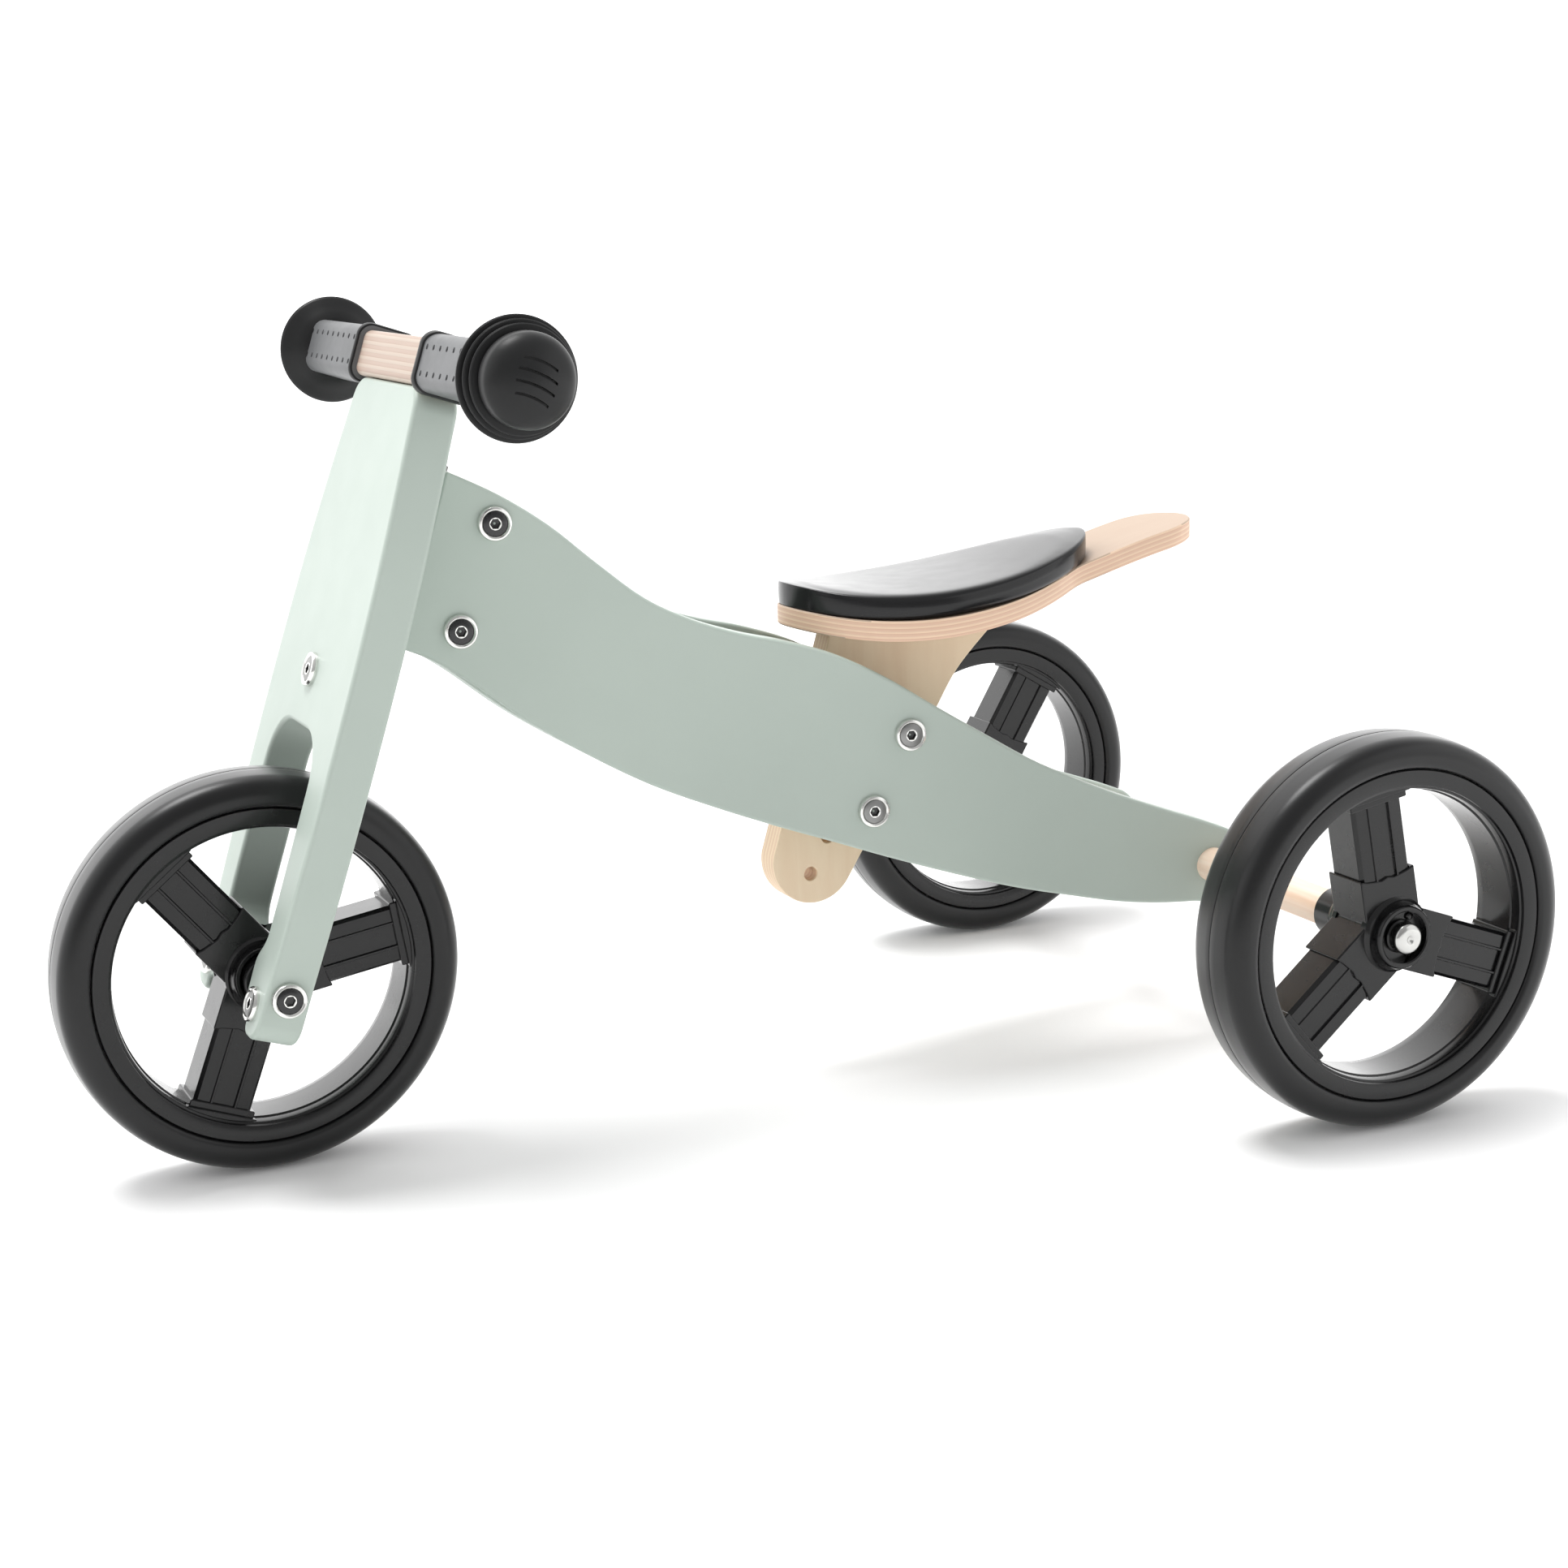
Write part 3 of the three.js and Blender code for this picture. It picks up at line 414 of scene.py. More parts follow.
def merged(name, parts):
    """One object made of several, with their materials."""
    b = bmesh.new()
    materials = []
    for part in parts:
        start = len(b.faces)
        mesh = part.data.copy()
        mesh.transform(part.matrix_world)
        b.from_mesh(mesh)
        b.faces.ensure_lookup_table()
        for face in b.faces[start:]:
            material = mesh.materials[face.material_index]
            if material not in materials:
                materials.append(material)
            face.material_index = materials.index(material)
        bpy.data.meshes.remove(mesh)
        bpy.data.objects.remove(part)
    mesh = bpy.data.meshes.new(name)
    b.to_mesh(mesh)
    b.free()
    for material in materials:
        mesh.materials.append(material)
    obj = bpy.data.objects.new(name, mesh)
    bpy.context.scene.collection.objects.link(obj)
    return obj


def turned(name, profile, matrix, material, segments=96):
    """A [radius, height] profile turned about the local Z axis and placed by matrix. Radii of 0 close it."""
    vertices = []
    rings = []
    for radius, height in profile:
        count = 1 if radius < 1e-7 else segments
        rings.append(range(len(vertices), len(vertices) + count))
        for i in range(count):
            angle = 2 * math.pi * i / segments
            x, y = radius * math.cos(angle), radius * math.sin(angle)
            vertices.append(matrix @ Vector((x, y, height)))
    faces = []
    for a, b in zip(rings, rings[1:]):
        for i in range(segments):
            j = (i + 1) % segments
            corners = [a[i % len(a)], a[j % len(a)], b[j % len(b)], b[i % len(b)]]
            face = [c for n, c in enumerate(corners) if c not in corners[:n]]
            if len(face) > 2:
                faces.append(face)
    return piece(name, vertices, faces, material)


def arc(centre_at, radius, start, end, steps):
    """Points of an arc in a plane, with angles in degrees."""
    angles = [math.radians(start + (end - start) * i / steps) for i in range(steps + 1)]
    return [(centre_at[0] + radius * math.cos(a), centre_at[1] + radius * math.sin(a)) for a in angles]


def spline(points, steps=6):
    """A smooth line through points."""

    def between(a, b, c, d, t):
        square = (2 * a - 5 * b + 4 * c - d) * t * t
        cube = (3 * b - a - 3 * c + d) * t ** 3
        return 0.5 * (2 * b + (c - a) * t + square + cube)

    line = []
    ends = [points[0], *points, points[-1]]
    for four in zip(ends, ends[1:], ends[2:], ends[3:]):
        for i in range(steps):
            line.append(tuple(between(*values, i / steps) for values in zip(*four)))
    line.append(tuple(points[-1]))
    return line


def board(name, outline, thickness, matrix, material):
    """A flat board centred on the local XY plane that its outline is drawn in."""
    return prism(name, outline, -thickness / 2, thickness / 2, matrix, material)


def drilled(obj, holes, thickness, matrix, material):
    """Cuts round holes, as (x, y, radius), through a board."""
    reach = 0.6 * thickness
    tools = []
    for x, y, radius in holes:
        profile = [(0, -reach), (radius, -reach), (radius, reach), (0, reach)]
        tools.append(turned("hole", profile, matrix @ Matrix.Translation((x, y, 0)), material, 40))
    return carve(obj, *tools)


def prism(name, section, start, end, matrix, material):
    """A section in local (x, y) run along local Z."""
    count = len(section)
    vertices = [matrix @ Vector((x, y, z)) for z in (start, end) for x, y in section]
    faces = [[i, (i + 1) % count, count + (i + 1) % count, count + i] for i in range(count)]
    faces += [list(range(count)), list(range(count, 2 * count))]
    return piece(name, vertices, faces, material)


def repaint(nodes, material):
    """Gives CAD nodes that stay visible a material of their own."""
    for name in nodes:
        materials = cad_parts[name].data.materials
        materials.clear()
        materials.append(material)


def mark_plies(obj, depth_of, is_edge):
    """Stores each point's depth through the plies, and whether it lies on a cut edge."""
    mesh = obj.data
    depth = mesh.attributes.new("ply_depth", "FLOAT", "POINT")
    depth.data.foreach_set("value", [depth_of(v.co) for v in mesh.vertices])
    edge = mesh.attributes.new("ply_edge", "FLOAT", "CORNER")
    values = [0.0] * len(mesh.loops)
    for face in mesh.polygons:
        for corner in face.loop_indices:
            values[corner] = 1.0 if is_edge(face) else 0.0
    edge.data.foreach_set("value", values)


ACROSS = Matrix.Rotation(-math.pi / 2, 4, "X")        # local Z to +Y, local Y to -Z
SIDE_VIEW = Matrix.Rotation(math.pi / 2, 4, "X")      # drawn in (x, z): local Y to +Z, local Z to -Y
FORK_VIEW = HEAD @ Matrix(((0, 0, 1, 0), (1, 0, 0, 0), (0, 1, 0, 0), (0, 0, 0, 1)))

# ---------- bolts ----------

HEAD_RIM = [(5.8, 1.6), (6.3, 2.4), (6.9, 2.7), (7.7, 2.4), (8.15, 1.6), (8.2, 0.8), (8.2, -1.5)]
HEAD_FACE = [(5.9, 1.0), (5.8, 2.0), (5.4, 2.25), (3.0, 2.35), (3.0, 1.0)]
SOCKET_COLLAR = 3.2 * MM
SOCKET_HALF = 2.1 * MM
SOCKET_TOP = 2.5 * MM
SOCKET_SIDES = 6
AXLE_HEAD_HEIGHT = 3.4 * MM


def disc_bolt(name, at, outward, body, node, face_material):
    """A disc head with a bright rolled rim, a sunk face and a hex socket in the middle."""
    matrix = Matrix.Translation(at) @ outward.to_track_quat("Z", "Y").to_matrix().to_4x4()
    rim = turned("rim", in_metres(HEAD_RIM), matrix, NICKEL, 64)
    face = turned("face", in_metres(HEAD_FACE), matrix, face_material, 64)
    bolt = merged(name, [rim, face, hex_socket(matrix)])
    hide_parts(node)
    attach(bolt, body)


def hex_socket(matrix):
    """A bright collar round a six-sided hole whose walls and bottom are coloured black, as painted shade in
    the hole.
    """
    outer, flats, top = SOCKET_COLLAR, SOCKET_HALF, SOCKET_TOP
    segments = 48
    rings = []
    for shape, reach, height in (("round", outer, top - 0.5 * MM), ("round", outer - 0.3 * MM, top),
                                 ("hex", flats + 0.25 * MM, top), ("hex", flats, top - 0.3 * MM),
                                 ("hex", flats, top - 2.2 * MM)):
        ring = []
        for i in range(segments):
            angle = 2 * math.pi * i / segments
            to_flat = (angle % (2 * math.pi / SOCKET_SIDES)) - math.pi / SOCKET_SIDES
            distance = reach if shape == "round" else reach / math.cos(to_flat)
            ring.append(matrix @ Vector((distance * math.cos(angle), distance * math.sin(angle), height)))
        rings.append(ring)
    vertices = [v for ring in rings for v in ring] + [matrix @ Vector((0, 0, top - 2.6 * MM))]
    faces = []
    for level in range(len(rings) - 1):
        for i in range(segments):
            j = (i + 1) % segments
            a = level * segments
            faces.append([a + i, a + j, a + segments + j, a + segments + i])
    last = (len(rings) - 1) * segments
    faces += [[last + i, last + (i + 1) % segments, len(vertices) - 1] for i in range(segments)]
    socket = piece("socket", vertices, faces, NICKEL)
    # The pit's walls and bottom get the black material: painted shade in the hole, not a finish of the bolt.
    socket.data.materials.append(ENAMEL_AND_PAINTED_SHADE)
    for face in socket.data.polygons:
        sunk = matrix.inverted() @ face.center
        face.material_index = 1 if sunk.z < top - 0.35 * MM and sunk.xy.length < flats + 0.3 * MM else 0
    return socket


def frame_bolts():
    # Black faces on the head bolts and steel faces on the post bolts stand for the dark and the grey that the
    # same mirror faces reflect: painted reflection.
    for group, face in (("head", ENAMEL_AND_PAINTED_SHADE), ("post", STEEL)):
        for level in ("upper", "lower"):
            for kind, side in (("bolt", -1), ("nut", 1)):
                node = f"{group}_{kind}_{level}"
                x, z = centre(node).x, centre(node).z
                outward = Vector((-PANEL_SPLAY, side, 0)).normalized()
                at = Vector((x, side * panel_outer(x), z))
                disc_bolt(f"{node}_head", at, outward, "frame", node, face)


def steering_bolts():
    half = FORK_THICKNESS / 2
    forward = HEAD.to_3x3() @ Vector((-1, 0, 0))
    for node in ("hinge_bolt", "leg_bolt_left", "leg_bolt_right"):
        at = HEAD.inverted() @ centre(node)
        disc_bolt(f"{node}_head", head_point(-half, at.y, at.z), forward, "steering", node, STEEL)
    for node, side in (("front_axle_bolt", -1), ("front_axle_nut", 1)):
        low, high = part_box(node)
        under_head = max(abs(low.y), abs(high.y)) - AXLE_HEAD_HEIGHT
        at = Vector((FRONT_HUB.x, side * under_head, FRONT_HUB.z))
        disc_bolt(f"{node}_head", at, Vector((0, side, 0)), "steering", node, ENAMEL_AND_PAINTED_SHADE)


# ---------- painted boards ----------

PANEL_TOP = [(-148.5, 322.5), (-124, 310), (-101, 294.5), (-79, 275.5), (-56, 257), (-33, 245), (-9, 236.5),
             (16, 230), (42, 221), (66, 208.5), (91, 192.5), (117, 176.3), (143, 160.5), (168, 148),
             (193, 137), (220, 126.5), (239, 119.5)]
PANEL_BOTTOM = [(236, 75.8), (214, 77.4), (191, 80.8), (168, 86), (134, 94.5), (101, 105), (68, 116.5),
                (36, 128.5), (5, 140), (-26, 152.5), (-56, 166), (-85, 182.5), (-114, 201.5), (-142, 223.5),
                (-160, 235.5)]
TAIL_RADIUS = 20.5 * MM


def side_panels():
    """Two boards drawn from the side and then splayed about the rear axle."""
    lower_corner = head_point(FORK_THICKNESS / 2 + 10 * MM, 0, 162 * MM)
    outline = spline(in_metres(PANEL_TOP), 5)
    outline += arc((REAR_AXLE.x, REAR_AXLE.z), TAIL_RADIUS, 62, -92, 24)
    outline += spline(in_metres(PANEL_BOTTOM) + [(lower_corner.x, lower_corner.z)], 5)
    for name, side in (("left_panel", -1), ("right_panel", 1)):
        panel = board(f"{name}_board", outline, PANEL_THICKNESS, SIDE_VIEW, SAGE)
        eased(panel, 1.8 * MM, 4)
        to_axle = Matrix.Translation((-REAR_AXLE.x, 0, 0))
        splay = Matrix.Rotation(math.atan(PANEL_SPLAY) * side, 4, "Z")
        middle = side * (PANEL_HALF_WIDTH - PANEL_THICKNESS * math.hypot(1, PANEL_SPLAY) / 2)
        panel.data.transform(Matrix.Translation((REAR_AXLE.x, middle, 0)) @ splay @ to_axle)
        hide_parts(name)
        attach(panel, "frame")


FORK_SIDE = [(60, 8), (62.5, 36), (64.5, 75), (65, 110), (64.5, 150), (61.5, 195), (56, 235), (52.5, 254)]
SLOT_SIDE = [(38, -16.5), (36.8, -15), (32, -13.5), (29, -10), (28.2, -2), (28.5, 9), (31, 14), (36, 20),
             (38, 28), (38, 60), (38, 92)]
SLOT_TOP = 116
FORK_BOTTOM = -23
FORK_TOP = 279.5
RECESS = [(-14.3, 130.7), (14.3, 130.7), (14.3, 252.3), (-14.3, 252.3)]
RECESS_DEPTH = 3.3 * MM


def fork_board():
    """A board with rounded feet and shoulders, a wheel slot that narrows at the axle, and a recess
    in its back for the hinge leaf."""
    slot = spline(SLOT_SIDE, 5) + arc((14, SLOT_TOP - 24), 24, 0, 90, 12)
    foot = arc((43, FORK_BOTTOM + 5), 5, 180, 270, 6) + arc((47.5, FORK_BOTTOM + 11.5), 11.5, 270, 352, 8)
    shoulder = arc((38, FORK_TOP - 12), 12, 8, 90, 8)
    half = slot[::-1] + foot + spline(FORK_SIDE, 5) + shoulder
    outline = in_metres(half + [(-x, y) for x, y in half[::-1]])
    fork = board("fork_board", outline, FORK_THICKNESS, FORK_VIEW, SAGE)
    eased(fork, 2.2 * MM, 4)
    back = FORK_THICKNESS / 2
    recess = prism("recess", in_metres(RECESS), back - RECESS_DEPTH, back + RECESS_DEPTH, FORK_VIEW, SAGE)
    carve(fork, recess)
    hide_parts("fork")
    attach(fork, "steering")


# ---------- handlebar and grips ----------

BAR_UP = 290.8 * MM
BAR_HALF = (12 * MM, 11 * MM)
BAR_CORNER = 4 * MM


def rounded_rectangle(half_x, half_y, corner, steps=6):
    points = []
    for cx, cy, start in ((1, 1, 0), (-1, 1, 90), (-1, -1, 180), (1, -1, 270)):
        points += arc((cx * (half_x - corner), cy * (half_y - corner)), corner, start, start + 90, steps)
    return points


# The bar's section is drawn in (back, up), and its length runs along -Y.
BAR_VIEW = HEAD @ Matrix.Translation((0, 0, BAR_UP)) @ SIDE_VIEW


def handlebar():
    low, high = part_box("handlebar")
    section = rounded_rectangle(*BAR_HALF, BAR_CORNER)
    bar = board("handlebar_wood", section, high.y - low.y, BAR_VIEW, BAR_PLY)
    inverse = BAR_VIEW.inverted()
    up = HEAD.to_3x3() @ Vector((0, 0, 1))
    mark_plies(bar, lambda co: 0.5 + (inverse @ co).y / (2 * BAR_HALF[1]),
               lambda face: abs(face.normal.dot(up)) < 0.8)
    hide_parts("handlebar")
    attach(bar, "steering")


GRIP_WALL = 2.2 * MM
GRIP_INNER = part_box("grip_right")[0].y
GRIP_FLANGE = 144 * MM
FLANGE_RADIUS = 26.5 * MM
RING_PITCH = 3.8 * MM
RING_STEP = 1.7 * MM
DOME_RADIUS = 20.3 * MM
DOME_END = centre("grip_right").y + size("grip_right").y / 2
SLIT_TILT = -0.12
DIMPLE_PITCH = 9.6 * MM


def grip_end_profile():
    """Radius and distance from the bike's middle of the dished flange, its rings and the dome."""
    profile = [(0, GRIP_FLANGE - 9 * MM), (13.5 * MM, GRIP_FLANGE - 9 * MM)]
    profile += [(13.5 * MM + a, GRIP_FLANGE - 9 * MM + b) for a, b in
                in_metres([(3, 1.2), (6.5, 4), (9.5, 6.6), (12, 8.2)])]
    for i in range(3):
        y = GRIP_FLANGE + RING_PITCH * i
        r = FLANGE_RADIUS - RING_STEP * i
        profile += [(r - 0.5 * MM, y), (r, y + 0.5 * MM), (r, y + 1.3 * MM), (r - 0.5 * MM, y + 1.8 * MM)]
        profile += [(r - 3.6 * MM, y + 2.0 * MM), (r - 4.1 * MM, y + 2.6 * MM),
                    (r - 3.6 * MM, y + RING_PITCH)]
    base = GRIP_FLANGE + 3 * RING_PITCH
    profile += [(DOME_RADIUS, base + 0.3 * MM), (DOME_RADIUS, base + 2 * MM)]
    depth = DOME_END - base - 4 * MM
    for i in range(1, 13):
        a = math.radians(7.5 * i)
        profile.append((DOME_RADIUS * math.cos(a), base + 4 * MM + depth * math.sin(a)))
    profile[-1] = (0, profile[-1][1])
    return profile


def grips():
    for name, side in (("grip_left", -1), ("grip_right", 1)):
        along = HEAD @ Matrix.Translation((0, 0, BAR_UP)) @ Matrix.Rotation(-side * math.pi / 2, 4, "X")
        end = turned("end", grip_end_profile(), along, GRIP, 128)
        carve(end, *dome_slits(along))
        sleeve = grip_sleeve(side)
        grip = merged(f"{name}_moulding", [end, sleeve])
        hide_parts(name)
        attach(grip, "steering")


def dome_slits(along):
    """Cutters for four short, slightly curved slits across the dome."""
    half_slit = 0.55 * MM
    start, end = DOME_END - 2.9 * MM, DOME_END + 2 * MM
    slits = []
    for row in (-1.5, -0.5, 0.5, 1.5):
        reach = 9.5 * MM - abs(row) * 1.2 * MM
        line = []
        for i in range(-8, 9):
            x = i * reach / 8
            line.append((x, row * 5 * MM + SLIT_TILT * x + 1 * MM * (1 - (i / 8) ** 2)))
        section = [(x, y - half_slit) for x, y in line] + [(x, y + half_slit) for x, y in line[::-1]]
        slits.append(prism("slit", section, start, end, along, GRIP))
    return slits


def grip_sleeve(side):
    """The rounded square sleeve with a lipped inner end and rows of small dimples."""
    length = GRIP_FLANGE - 8 * MM - GRIP_INNER
    at = side * (GRIP_INNER + length / 2)
    half = [h + GRIP_WALL for h in BAR_HALF]
    section = rounded_rectangle(*half, BAR_CORNER + GRIP_WALL, 8)
    place = HEAD @ Matrix.Translation((0, at, BAR_UP)) @ SIDE_VIEW
    # The sleeve's lighter rubber is painted sheen.
    sleeve = board("sleeve", section, length, place, SLEEVE_PAINTED_SHEEN)
    tools = []
    for face in (-1, 1):
        for row in (-0.5, 0.5):
            for i in range(9):
                y = side * (GRIP_INNER + 9 * MM + DIMPLE_PITCH * i)
                tools.append(dimple(head_point(face * half[0], y, BAR_UP + row * 12 * MM)))
    carve(sleeve, merged("dimples", tools))
    return merged("sleeve_and_lip", [sleeve, grip_lip(side, half, section)])


def dimple(at):
    profile = in_metres([(0, -1.4), (1.1, -1), (1.4, 0), (1.1, 1), (0, 1.4)])
    return turned("dimple", profile, Matrix.Translation(at), GRIP, 12)


def grip_lip(side, half, section):
    """A raised lip round the sleeve's inner end, longer over the top and bottom."""
    profile = [(-1.8, 0.1), (-0.6, 0.0), (1.0, 0.2), (1.5, 0.9), (1.4, 2.2), (0.9, 3.2), (-0.5, 3.8)]
    vertices = []
    for out, along in in_metres(profile):
        for x, z in section:
            stretch = along * (1 + 0.9 * (abs(z) / half[1]) ** 3)
            scale = 1 + out / math.hypot(x, z)
            vertices.append(head_point(x * scale, side * (GRIP_INNER + stretch), BAR_UP + z * scale))
    count = len(section)
    faces = []
    for ring in range(len(profile) - 1):
        for i in range(count):
            j = (i + 1) % count
            faces.append([ring * count + i, ring * count + j, (ring + 1) * count + j, (ring + 1) * count + i])
    return piece("lip", vertices, faces, GRIP)


# ---------- seat ----------

SEAT_TOP = [(28, 242.5), (46, 239), (66, 237), (88, 236.8), (114, 238.6), (140, 242.2), (165, 247.8),
            (190, 254.5), (212, 260.8), (232, 266), (250, 269.8), (264, 271.8)]
SEAT_LINE = spline(in_metres(SEAT_TOP), 12)
SEAT_MIDDLE = 102 * MM
SEAT_FRONT = 72 * MM
SEAT_REAR = 100 * MM
SEAT_HALF_WIDTH = 52 * MM
TAIL_HALF_WIDTH = 26 * MM
TAIL_END = 262 * MM
BOARD_THICKNESS = 10 * MM


def seat_height(x):
    """Height of the seat board's top surface at x."""
    for (x0, z0), (x1, z1) in zip(SEAT_LINE, SEAT_LINE[1:]):
        if x0 <= x <= x1:
            return z0 + (z1 - z0) * (x - x0) / (x1 - x0)
    return SEAT_LINE[0][1] if x < SEAT_LINE[0][0] else SEAT_LINE[-1][1]


def oval_half_width(x, front, rear, half_width, rear_power):
    """Half the width at x of an oval that tapers differently ahead of and behind its middle."""
    t = (SEAT_MIDDLE - x) / front if x < SEAT_MIDDLE else (x - SEAT_MIDDLE) / rear
    power = 2 if x < SEAT_MIDDLE else rear_power
    return 0 if t >= 1 else half_width * (1 - t ** power) ** (1 / power)


def board_half_width(x):
    """Half the seat board's width at x: an oval that runs into a round-ended tail."""
    oval = oval_half_width(x, SEAT_FRONT, SEAT_REAR, SEAT_HALF_WIDTH, 1.7)
    if x < SEAT_MIDDLE:
        return oval
    reach = x - (TAIL_END - TAIL_HALF_WIDTH)
    tail = TAIL_HALF_WIDTH if reach < 0 else math.sqrt(max(0, TAIL_HALF_WIDTH ** 2 - reach ** 2))
    return smooth_max(oval, tail, 5 * MM)


def smooth_max(a, b, blend):
    """The larger of two values, with the change-over rounded off."""
    h = max(blend - abs(a - b), 0) / blend
    return max(a, b) + h * h * blend / 4


def stations(start, end, count):
    """Places from start to end that crowd together near both."""
    return [start + (end - start) * (1 - math.cos(math.pi * i / count)) / 2 for i in range(count + 1)]


def plan_ring(xs, half_width):
    """A closed loop of (x, y) round a plan shape with pointed or blunt ends."""
    near = [(x, -half_width(x)) for x in xs]
    return near + [(x, -y) for x, y in near[-2:0:-1]]


def seat_board():
    """The board, its two rims a little eased, standing for the screws under it as well."""
    ring = plan_ring(stations(SEAT_MIDDLE - SEAT_FRONT, TAIL_END, 80), board_half_width)
    rim = 0.6 * MM
    levels = [(rim, 0.0), (0.0, rim), (0.0, BOARD_THICKNESS - rim), (rim, BOARD_THICKNESS)]
    middle = Vector(((SEAT_MIDDLE + TAIL_END) / 2, 0))
    vertices = []
    for inset, depth in levels:
        for x, y in ring:
            inward = (middle - Vector((x, y))).normalized() * inset
            px, py = x + inward.x, y + inward.y
            vertices.append((px, py, seat_height(px) - depth))
    wood = loft_with_caps("seat_board_wood", vertices, len(ring), BOARD_PLY)
    mark_plies(wood, lambda co: (seat_height(co.x) - co.z) / BOARD_THICKNESS,
               lambda face: abs(face.normal.z) < 0.6)
    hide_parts("seat_board", "seat_screw_front", "seat_screw_rear")
    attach(wood, "frame")


def loft_with_caps(name, vertices, count, material):
    """Rings of points joined into walls, with the first and last ring bridged across as caps."""
    faces = []
    levels = len(vertices) // count
    for level in range(levels - 1):
        for i in range(count):
            j = (i + 1) % count
            low, high = level * count, (level + 1) * count
            faces.append([low + i, low + j, high + j, high + i])
    for start in (0, (levels - 1) * count):
        for i in range(count // 2 - 1):
            a, b = start + i, start + i + 1
            c, d = start + (count - i - 1) % count, start + (count - i) % count
            faces.append([v for n, v in enumerate((a, b, c, d)) if v not in (a, b, c, d)[:n]])
        faces.append([start + count // 2 - 1, start + count // 2, start + count // 2 + 1])
    return piece(name, vertices, faces, material)


PAD_THICKNESS = 13.2 * MM
PAD_INSET = 0.6 * MM
PAD_TAIL_INSET = 3 * MM
PAD_TAIL_POWER = 1.95
PAD_ROWS = (-1, -0.94, -0.84, -0.65, -0.35, 0, 0.35, 0.65, 0.84, 0.94, 1)


def pad_blank():
    """The pad before it is blown up: a thick shape that follows the board, a little crowned."""
    front = SEAT_FRONT - PAD_INSET
    rear = SEAT_REAR - PAD_TAIL_INSET
    half_width = SEAT_HALF_WIDTH - PAD_INSET
    xs = stations(SEAT_MIDDLE - front, SEAT_MIDDLE + rear, 60)
    vertices = []
    across = len(PAD_ROWS) - 1
    for top in (True, False):
        for x in xs:
            width = oval_half_width(x, front, rear, half_width, PAD_TAIL_POWER)
            for v in PAD_ROWS:
                crown = 1.0 * MM * (1 - v * v) * min(1, width / (20 * MM))
                lift = PAD_THICKNESS - 1.2 * MM + crown if top else 0.3 * MM
                vertices.append((x, v * width, seat_height(x) + lift))
    row = across + 1
    layer = row * len(xs)
    faces = []
    for i in range(len(xs) - 1):
        for j in range(across):
            a = i * row + j
            faces.append([a, a + 1, a + row + 1, a + row])
            faces.append([layer + a, layer + a + row, layer + a + row + 1, layer + a + 1])
        for j in (0, across):
            a = i * row + j
            faces.append([a, a + row, layer + a + row, layer + a])
    return piece("seat_pad_cover", vertices, faces, VINYL)


def blown_up(obj, pressure, cap):
    """Inflates a closed shape as cloth, and limits how far any point may move."""
    rest = [v.co.copy() for v in obj.data.vertices]
    cloth = obj.modifiers.new("cloth", "CLOTH")
    cloth.settings.use_pressure = True
    cloth.settings.uniform_pressure_force = pressure
    cloth.settings.effector_weights.gravity = 0
    cloth.settings.tension_stiffness = 40
    cloth.settings.compression_stiffness = 40
    for number in range(1, 21):
        bpy.context.scene.frame_set(number)
    applied(obj)
    bpy.context.scene.frame_set(1)
    for vertex, start in zip(obj.data.vertices, rest):
        moved = vertex.co - start
        if moved.length > cap:
            vertex.co = start + moved.normalized() * cap


def rounded_off(obj):
    """One level of subdivision."""
    obj.modifiers.new("rounding", "SUBSURF").levels = 1
    applied(obj)


def seat_pad():
    pad = pad_blank()
    rounded_off(pad)
    blown_up(pad, 1.2, 0.5 * MM)
    soft = pad.modifiers.new("soften", "SMOOTH")
    soft.factor = 0.5
    soft.iterations = 3
    applied(pad)
    for vertex in pad.data.vertices:
        floor = seat_height(vertex.co.x) + 0.3 * MM
        vertex.co.z = max(vertex.co.z, floor)
    rounded_off(pad)
    pad.data.shade_smooth()
    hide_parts("seat_pad")
    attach(pad, "frame")


# ---------- seat post ----------

POST_FOOT = (39.5, 112.5)
POST_FOOT_RADIUS = 22.5
POST_HOLES = [(37.5 + 10 * i, 105.5 + 18.4 * i) for i in range(5)]
POST_HOLE_RADIUS = 3.5 * MM
POST_THICKNESS = 16 * MM


def seat_post():
    foot = arc(POST_FOOT, POST_FOOT_RADIUS, 170, 330, 30)
    back = spline([(111, 184.5), (122.5, 202.5), (139, 219.5), (151, 230)], 6)
    under = [(x, seat_height(x * MM) / MM - 10.3) for x in (150, 135, 118, 100, 82, 66, 52)]
    outline = in_metres(foot + back[:-1] + under + [(50.8, 225.7)])
    post = board("seat_post_wood", outline, POST_THICKNESS, SIDE_VIEW, POST_PLY)
    holes = [(x, z, POST_HOLE_RADIUS) for x, z in in_metres(POST_HOLES)]
    drilled(post, holes, POST_THICKNESS, SIDE_VIEW, POST_PLY)
    eased(post, 0.7 * MM, 2)
    mark_plies(post, lambda co: 0.5 + co.y / POST_THICKNESS, lambda face: abs(face.normal.y) < 0.6)
    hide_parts("seat_post")
    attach(post, "frame")


# ---------- rear axle ----------


